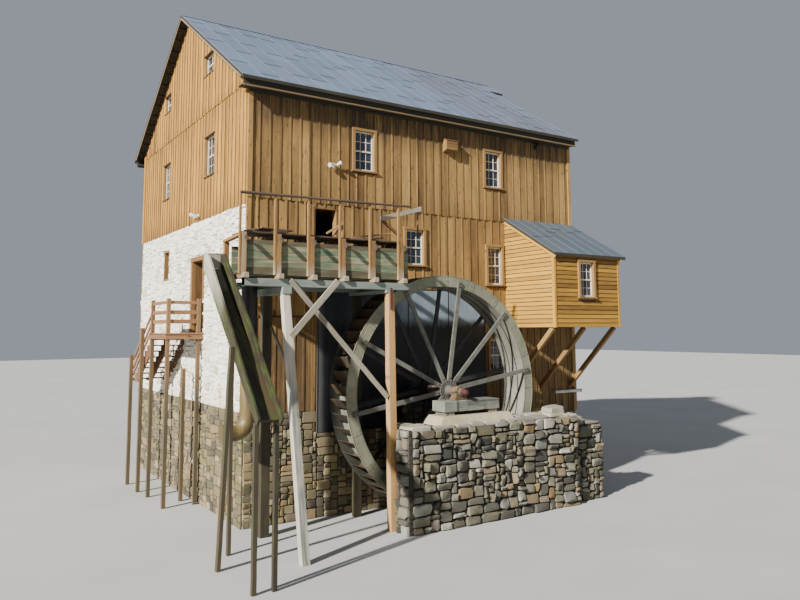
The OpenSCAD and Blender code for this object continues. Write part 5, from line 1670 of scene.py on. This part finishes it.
# hub: a dark plate with cast rings and ribs on it, leaving three rows of slots
g, gd = Geo(104), Geo(106)
for yf, ny in ((WY0 - 0.046, -1), (WY1 + 0.046, 1)):
    disc(gd, (HUBX, yf, HUBZ), (0, ny, 0), 0.292, 0.022, n=60, ch=0.004)
    disc(gd, (HUBX, (WY0 + 0.002 if ny < 0 else WY1 - 0.002), HUBZ), (0, -ny, 0), 0.296, 0.056, n=60, ch=0.004)
    y = yf + ny * 0.020
    for r0, r1, h in ((0.148, 0.170, 0.030), (0.192, 0.208, 0.022), (0.230, 0.246, 0.021), (0.268, 0.299, 0.021)):
        ring_plate(g, r0, r1, y, ny, h)
    for i in range(20):
        a = math.radians(18 * i)
        u = Vector((math.cos(a), 0, math.sin(a)))
        c = Vector((HUBX, y + ny * 0.0115, HUBZ))
        beam(g, c + u * 0.152, c + u * 0.292, 0.020 if i % 2 else 0.034, 0.025, up=(0, 1, 0), n=1, ch=0.004, tone=None)
        if i % 2 == 0:
            bolt(g, Vector((HUBX, y + ny * 0.021, HUBZ)) + u * 0.284, (0, ny, 0), 0.012)
            bolt(g, Vector((HUBX, y + ny * 0.021, HUBZ)) + u * 0.218, (0, ny, 0), 0.009)
    disc(g, (HUBX, y, HUBZ), (0, ny, 0), 0.150, 0.075, n=48, ch=0.014)
    disc(g, (HUBX, y + ny * 0.07, HUBZ), (0, ny, 0), 0.128, 0.05, n=48, ch=0.012)
disc(g, (HUBX, -0.66, HUBZ), (0, 1, 0), 0.108, 0.435, n=48, ch=0.006)
make(g, "hub_castings", M["hubgrey"], body="wheel", smooth=35)
make(gd, "hub_back_plates", M["iron"], body="wheel", smooth=35, repl=("wheel_hub",))
g = Geo(107)
disc(g, (HUBX, -0.70, HUBZ), (0, -1, 0), 0.108, 1.72, n=48, ch=0.004)
disc(g, (HUBX, -2.118, HUBZ), (0, 1, 0), 0.124, 0.05, n=48, ch=0.01)
disc(g, (HUBX, -2.40, HUBZ), (0, -1, 0), 0.096, 0.05, n=40, ch=0.01)
make(g, "hub_shaft", M["shaft"], body="wheel", smooth=35)
g = Geo(105)
disc(g, (HUBX, -2.42, HUBZ), (0, -1, 0), 0.078, 0.225, n=40, ch=0.02)
disc(g, (HUBX, -2.644, HUBZ), (0, -1, 0), 0.03, 0.014, n=24, ch=0.006)
make(g, "shaft_end", M["redend"], body="wheel", smooth=35)

# bearing: sill timber on two feet, a cast block and its cap
g = Geo(108)
tb(g, 4600, 6500, -2520, -1960, 2850, 3130, n=12, ch=0.012, jit=0.005, tone=0.6, aux=lambda x, y, z: 0.9 if z > 3.1 and x > 5.4 else 0.35)
make(g, "bearing_sill_timber", M["sill"], repl=("bearing_sill",))
g = Geo(110)
for x in (4680, 6150):
    for j in range(3):
        tb(g, x + j * 96, x + j * 96 + 90, -2480, -2000, 2760, 2848, n=3, jit=0.002)
make(g, "bearing_sill_feet", M["grey"])
g = Geo(109)
arc = [(HUBX + 0.118 * math.cos(math.radians(t)), HUBZ + 0.118 * math.sin(math.radians(t))) for t in range(-4, -177, -8)]
slab(g, [(HUBX - 0.205, 3.133), (HUBX + 0.205, 3.133), (HUBX + 0.205, 3.20), (HUBX + 0.165, 3.235), (HUBX + 0.165, 3.335)]
     + arc + [(HUBX - 0.165, 3.335), (HUBX - 0.165, 3.235), (HUBX - 0.205, 3.20)], "y", -2.385, -2.145, tone=0.5, scale=1)
cap = [(HUBX + 0.150 * math.cos(math.radians(t)), HUBZ + 0.150 * math.sin(math.radians(t))) for t in range(4, 177, 8)]
inn = [(HUBX + 0.118 * math.cos(math.radians(t)), HUBZ + 0.118 * math.sin(math.radians(t))) for t in range(176, 3, -8)]
slab(g, cap + inn, "y", -2.37, -2.16, tone=0.7, scale=1)
for x in (-0.178, 0.178):
    tb(g, (HUBX + x) * 1000 - 34, (HUBX + x) * 1000 + 34, -2368, -2162, 3337, 3372, n=1, ch=0.006, tone=0.6)
    for y in (-2.33, -2.20):
        bolt(g, (HUBX + x, y, 3.372), (0, 0, 1), 0.018)
        disc(g, (HUBX + x * 1.04, y, 3.200), (0, 0, 1), 0.016, 0.03, n=12)
make(g, "bearing_block_casting", M["ochre"], smooth=30)

# ------------------------------------------------------------------ splash sheet battens
g = Geo(111)
for x in (2.09, 3.6, 5.1, 6.6, 8.03):
    wbox(g, wf, x, x + 0.03, 2.26, 6.24, 0.0, 0.068, "z", n=6, ch=0.002, tone=0.4)
wbox(g, wf, 2.08, 8.07, 6.225, 6.255, 0.0, 0.072, "u", n=10, ch=0.002, tone=0.9)
make(g, "splash_sheet_edges", M["iron"])


# ------------------------------------------------------------------ fittings
def floodlight(g, hinge, aim, r=0.075, ln=0.17):
    """A round lamp housing with its rim, neck and swivel."""
    h, a = Vector(hinge), Vector(aim).normalized()
    disc(g, h - a * 0.02, a, 0.026, 0.04, n=16)
    disc(g, h + a * 0.015, a, 0.045, ln * 0.35, n=20, ch=0.012)
    rings = []
    s = a.orthogonal().normalized()
    t = a.cross(s)
    for d, rr in ((0.05, 0.045), (0.08, r * 0.9), (ln - 0.02, r), (ln, r * 1.06), (ln + 0.012, r * 1.06), (ln + 0.012, r * 0.86)):
        rings.append([tuple(h + a * d + s * (rr * math.cos(2 * math.pi * i / 24)) + t * (rr * math.sin(2 * math.pi * i / 24))) for i in range(24)])
    loft(g, rings, tone=0.6)


g = Geo(121)
# a pair of lamps on one junction box, on the front and on the gable
for base, out, side in (((2.57, -0.004, 9.74), Vector((0, -1, 0)), Vector((1, 0, 0))),
                        ((-0.004, 4.05, 8.60), Vector((-1, 0, 0)), Vector((0, 1, 0)))):
    b = Vector(base)
    disc(g, b, out, 0.07, 0.045, n=24, ch=0.008)
    beam(g, b + out * 0.04, b + out * 0.13 + Vector((0, 0, 0.01)), 0.035, 0.035, n=1, ch=0.006)
    c = b + out * 0.13
    beam(g, c - side * 0.07, c + side * 0.07, 0.03, 0.03, n=1, ch=0.006)
    floodlight(g, c - side * 0.075, -side * 0.75 + out * 0.35 + Vector((0, 0, -0.25)), r=0.062, ln=0.13)
    floodlight(g, c + side * 0.075, side * 0.55 + out * 0.45 + Vector((0, 0, 0.35)), r=0.062, ln=0.13)
disc(g, (12.288, -0.15, 2.905), (-1, 0, 0), 0.052, 0.62, n=32, ch=0.004)
disc(g, (11.56, -0.15, 2.905), (-1, 0, 0), 0.052, 0.55, n=32, ch=0.004)
disc(g, (11.67, -0.15, 2.905), (-1, 0, 0), 0.044, 0.12, n=32, ch=0.002)
disc(g, (12.29, -0.15, 2.905), (-1, 0, 0), 0.060, 0.06, n=32, ch=0.004)
tb(g, 11600, 11632, -140, -2, 2846, 2862, n=1, ch=0.002)
tb(g, 11600, 11632, -20, -2, 2800, 2900, n=1, ch=0.002)
make(g, "lamps_and_pipe", M["lamp"], repl=("wall_fittings",), smooth=40)
g = Geo(122)
# boarded hood over an opening, and a bracket under the eave
slab(g, [(-0.028, 10.64), (-0.028, 11.06), (-0.235, 10.998), (-0.235, 10.70)], "x", 6.48, 6.505, tone=0.6, scale=1)
slab(g, [(-0.028, 10.64), (-0.028, 11.06), (-0.235, 10.998), (-0.235, 10.70)], "x", 6.895, 6.92, tone=0.6, scale=1)
for i in range(3):
    za, zb = 10.70 + i * 0.0985, 10.70 + (i + 1) * 0.0985 - 0.004
    tb(g, 6478, 6922, -258, -236, za * 1000, zb * 1000, n=2, jit=0.002, tone=None)
slab(g, [(-0.028, 11.064), (-0.028, 11.086), (-0.275, 11.015), (-0.275, 10.995)], "x", 6.46, 6.94, tone=0.2, scale=1)
slab(g, [(-0.028, 10.64), (-0.235, 10.70), (-0.235, 10.72), (-0.028, 10.66)], "x", 6.507, 6.893, tone=0.2, scale=1)
make(g, "hood_box_boards", M["trim"])
g = Geo(123)
tb(g, 10440, 10500, -60, -4, 11240, 11470, n=2)
beam(g, (10.47, -0.03, 11.27), (10.47, -0.29, 11.44), 0.04, 0.05, n=2)
tb(g, 10420, 10530, -300, -60, 11430, 11465, n=2)
make(g, "eave_bracket", M["iron"])

# ------------------------------------------------------------------ materials on the frame's own nodes
ASSIGN = {
    "foundation_walls": "footing2", "stone_gable_wall": "lime2", "front_wall_lower": "inner", "front_wall_middle": "inner",
    "front_wall_upper": "inner", "back_wall": "inner", "right_gable_wall": "inner", "left_gable_wall": "inner",
    "storey_floors": "floor", "roof_front_slope": "under", "roof_back_slope": "under", "roof_hood": "under",
    "front_window_panes": "glass", "gable_window_panes": "glass", "back_window_panes": "glass",
    "bay_walls": "inner", "bay_roof": "under", "riser_pipe": "pipe2",
    "wheel_rings": "wheel", "wheel_sole": "sole", "wheel_buckets": "bucket", "wheel_spokes": "spoke",
    "bearing_plinth": "concrete", "rear_bearing": "rubble2", "wheel_pit_wall": "rubble2",
    "splash_panel": "splash",
}


def plain_stone(name, a, b, c):
    k = Mat(name)
    o = k.obj()
    v = k.voro(k.mapped(o, (2.6, 2.6, 5.2)), 1.0, "DISTANCE_TO_EDGE").outputs["Distance"]
    n1 = k.noise(o, 3, 5, 0.6)
    n2 = k.noise(o, 22, 5, 0.65)
    col = k.mix(k.rng(n1, 0.3, 0.7), a, b)
    col = k.mix(k.rng(n2, 0.4, 0.7, 0, 0.4), col, c)
    col = k.mix(k.rng(v, 0.0, 0.05, 0.8, 0.0), col, c)
    k.color(col)
    k.rough(0.92)
    k.bump(k.math("ADD", k.rng(v, 0, 0.08), k.math("MULTIPLY", n2, 0.4)), 0.6, 0.03)
    return k.m


M["footing2"] = plain_stone("footing_core", srgb(70, 62, 48), srgb(92, 82, 62), srgb(44, 38, 30))
M["lime2"] = plain_stone("lime_core", srgb(214, 206, 188), srgb(228, 222, 206), srgb(180, 168, 142))
M["rubble2"] = plain_stone("rubble_core", srgb(46, 42, 36), srgb(66, 60, 50), srgb(28, 26, 22))


def pipe_mat():
    k = Mat("riser_pipe_metal")
    o = k.obj()
    z = k.sep(o)[2]
    a = k.noise(k.mapped(o, (5, 5, 1.2)), 1, 5, 0.65)
    b = k.noise(o, 16, 5, 0.65)
    low = k.rng(k.math("ADD", z, k.math("MULTIPLY", a, 0.8)), 4.4, 5.4, 1.0, 0.0)
    col = k.mix(k.rng(b, 0.35, 0.7), srgb(16, 15, 16), srgb(34, 32, 30))
    brown = k.mix(k.rng(a, 0.35, 0.65), srgb(62, 50, 28), srgb(112, 92, 56))
    brown = k.mix(k.rng(b, 0.5, 0.66, 0, 0.8), brown, srgb(78, 88, 40))
    k.color(k.mix(low, col, brown))
    k.rough(k.rng(b, 0.3, 0.7, 0.35, 0.6))
    k.bump(k.math("ADD", a, b), 0.35, 0.008)
    return k.m


M["pipe2"] = pipe_mat()


def splash_mat():
    """Sheet metal: a painted sunlit blue-grey band above that fades out to the left as painted flume shadow; below
    nearly black, partly wet sheet and partly painted shade, with a painted lit strip at the left edge.
    """
    k = Mat("splash_sheet_metal")
    o = k.obj()
    z, x = k.sep(o)[2], k.sep(o)[0]
    a = k.noise(k.mapped(o, (1.4, 1, 0.5)), 1, 5, 0.6)
    b = k.noise(k.mapped(o, (9, 1, 1.2)), 1, 5, 0.65)
    c = k.noise(o, 30, 4)
    # The upper band, from z 5.1 up, gets the light blue-grey: painted sunlight on the sheet.
    up = k.rng(k.math("ADD", z, k.math("MULTIPLY", k.math("SUBTRACT", b, 0.5), 0.5)), 5.10, 5.42)
    # Towards the left the band fades out: painted shadow of the flume.
    side = k.rng(k.math("ADD", x, k.math("MULTIPLY", k.math("SUBTRACT", a, 0.5), 1.2)), -1.5, -0.5)
    up = k.math("MULTIPLY", up, k.rng(side, 0, 1, 0.12, 1.0))
    hi = k.mix(k.rng(a, 0.3, 0.7), srgb(102, 118, 132), srgb(130, 146, 158))
    hi = k.mix(k.rng(b, 0.5, 0.7, 0, 0.4), hi, srgb(82, 92, 100))
    # Below, nearly black: partly wet sheet, partly painted shade.
    lo = k.mix(k.rng(b, 0.35, 0.7), srgb(8, 11, 16), srgb(28, 33, 40))
    lo = k.mix(k.rng(a, 0.52, 0.7, 0, 0.5), lo, srgb(30, 29, 26))
    # A grey strip along the left edge of the lower part: painted light.
    edge = k.rng(x, -3.56, -3.36, 1.0, 0.0)
    lo = k.mix(k.math("MULTIPLY", edge, 0.7), lo, srgb(104, 104, 102))
    col = k.mix(up, lo, hi)
    col = k.mix(0.3, col, k.ramp(c, [(0.3, 0.75), (0.7, 1.0)]), "MULTIPLY")
    k.color(col)
    k.b.inputs["Metallic"].default_value = 0.1
    k.rough(k.rng(b, 0.3, 0.7, 0.45, 0.65))
    k.bump(k.math("ADD", a, k.math("MULTIPLY", c, 0.2)), 0.3, 0.02)
    return k.m


M["splash"] = splash_mat()


def roof_under():
    k = Mat("roof_boards")
    o = k.obj()
    v = k.mapped(o, (1.2, 6, 6))
    a = k.noise(v, 1, 5, 0.6)
    b = k.noise(k.mapped(o, (2, 50, 50)), 1, 4)
    col = k.mix(k.rng(a, 0.3, 0.7), srgb(26, 24, 17), srgb(50, 45, 32))
    col = k.mix(k.rng(b, 0.4, 0.7, 0, 0.4), col, srgb(44, 36, 26))
    k.color(col)
    k.rough(0.85)
    k.bump(k.math("ADD", a, b), 0.35, 0.006)
    return k.m


M["under"] = roof_under()

for nm, key in ASSIGN.items():
    me = N[nm].data
    me.materials.clear()
    me.materials.append(M[key])

# ------------------------------------------------------------------ floor
fm = bpy.data.meshes.new("studio_floor")
fm.from_pydata([(-120, -120, 0), (120, -120, 0), (120, 120, 0), (-120, 120, 0)], [], [(0, 1, 2, 3)])
fl = bpy.data.objects.new("studio_floor", fm)
bpy.context.scene.collection.objects.link(fl)
fm.materials.append(floor_mat())

# ------------------------------------------------------------------ sizes
print("polys", sum(PIECES.values()), PIECES)
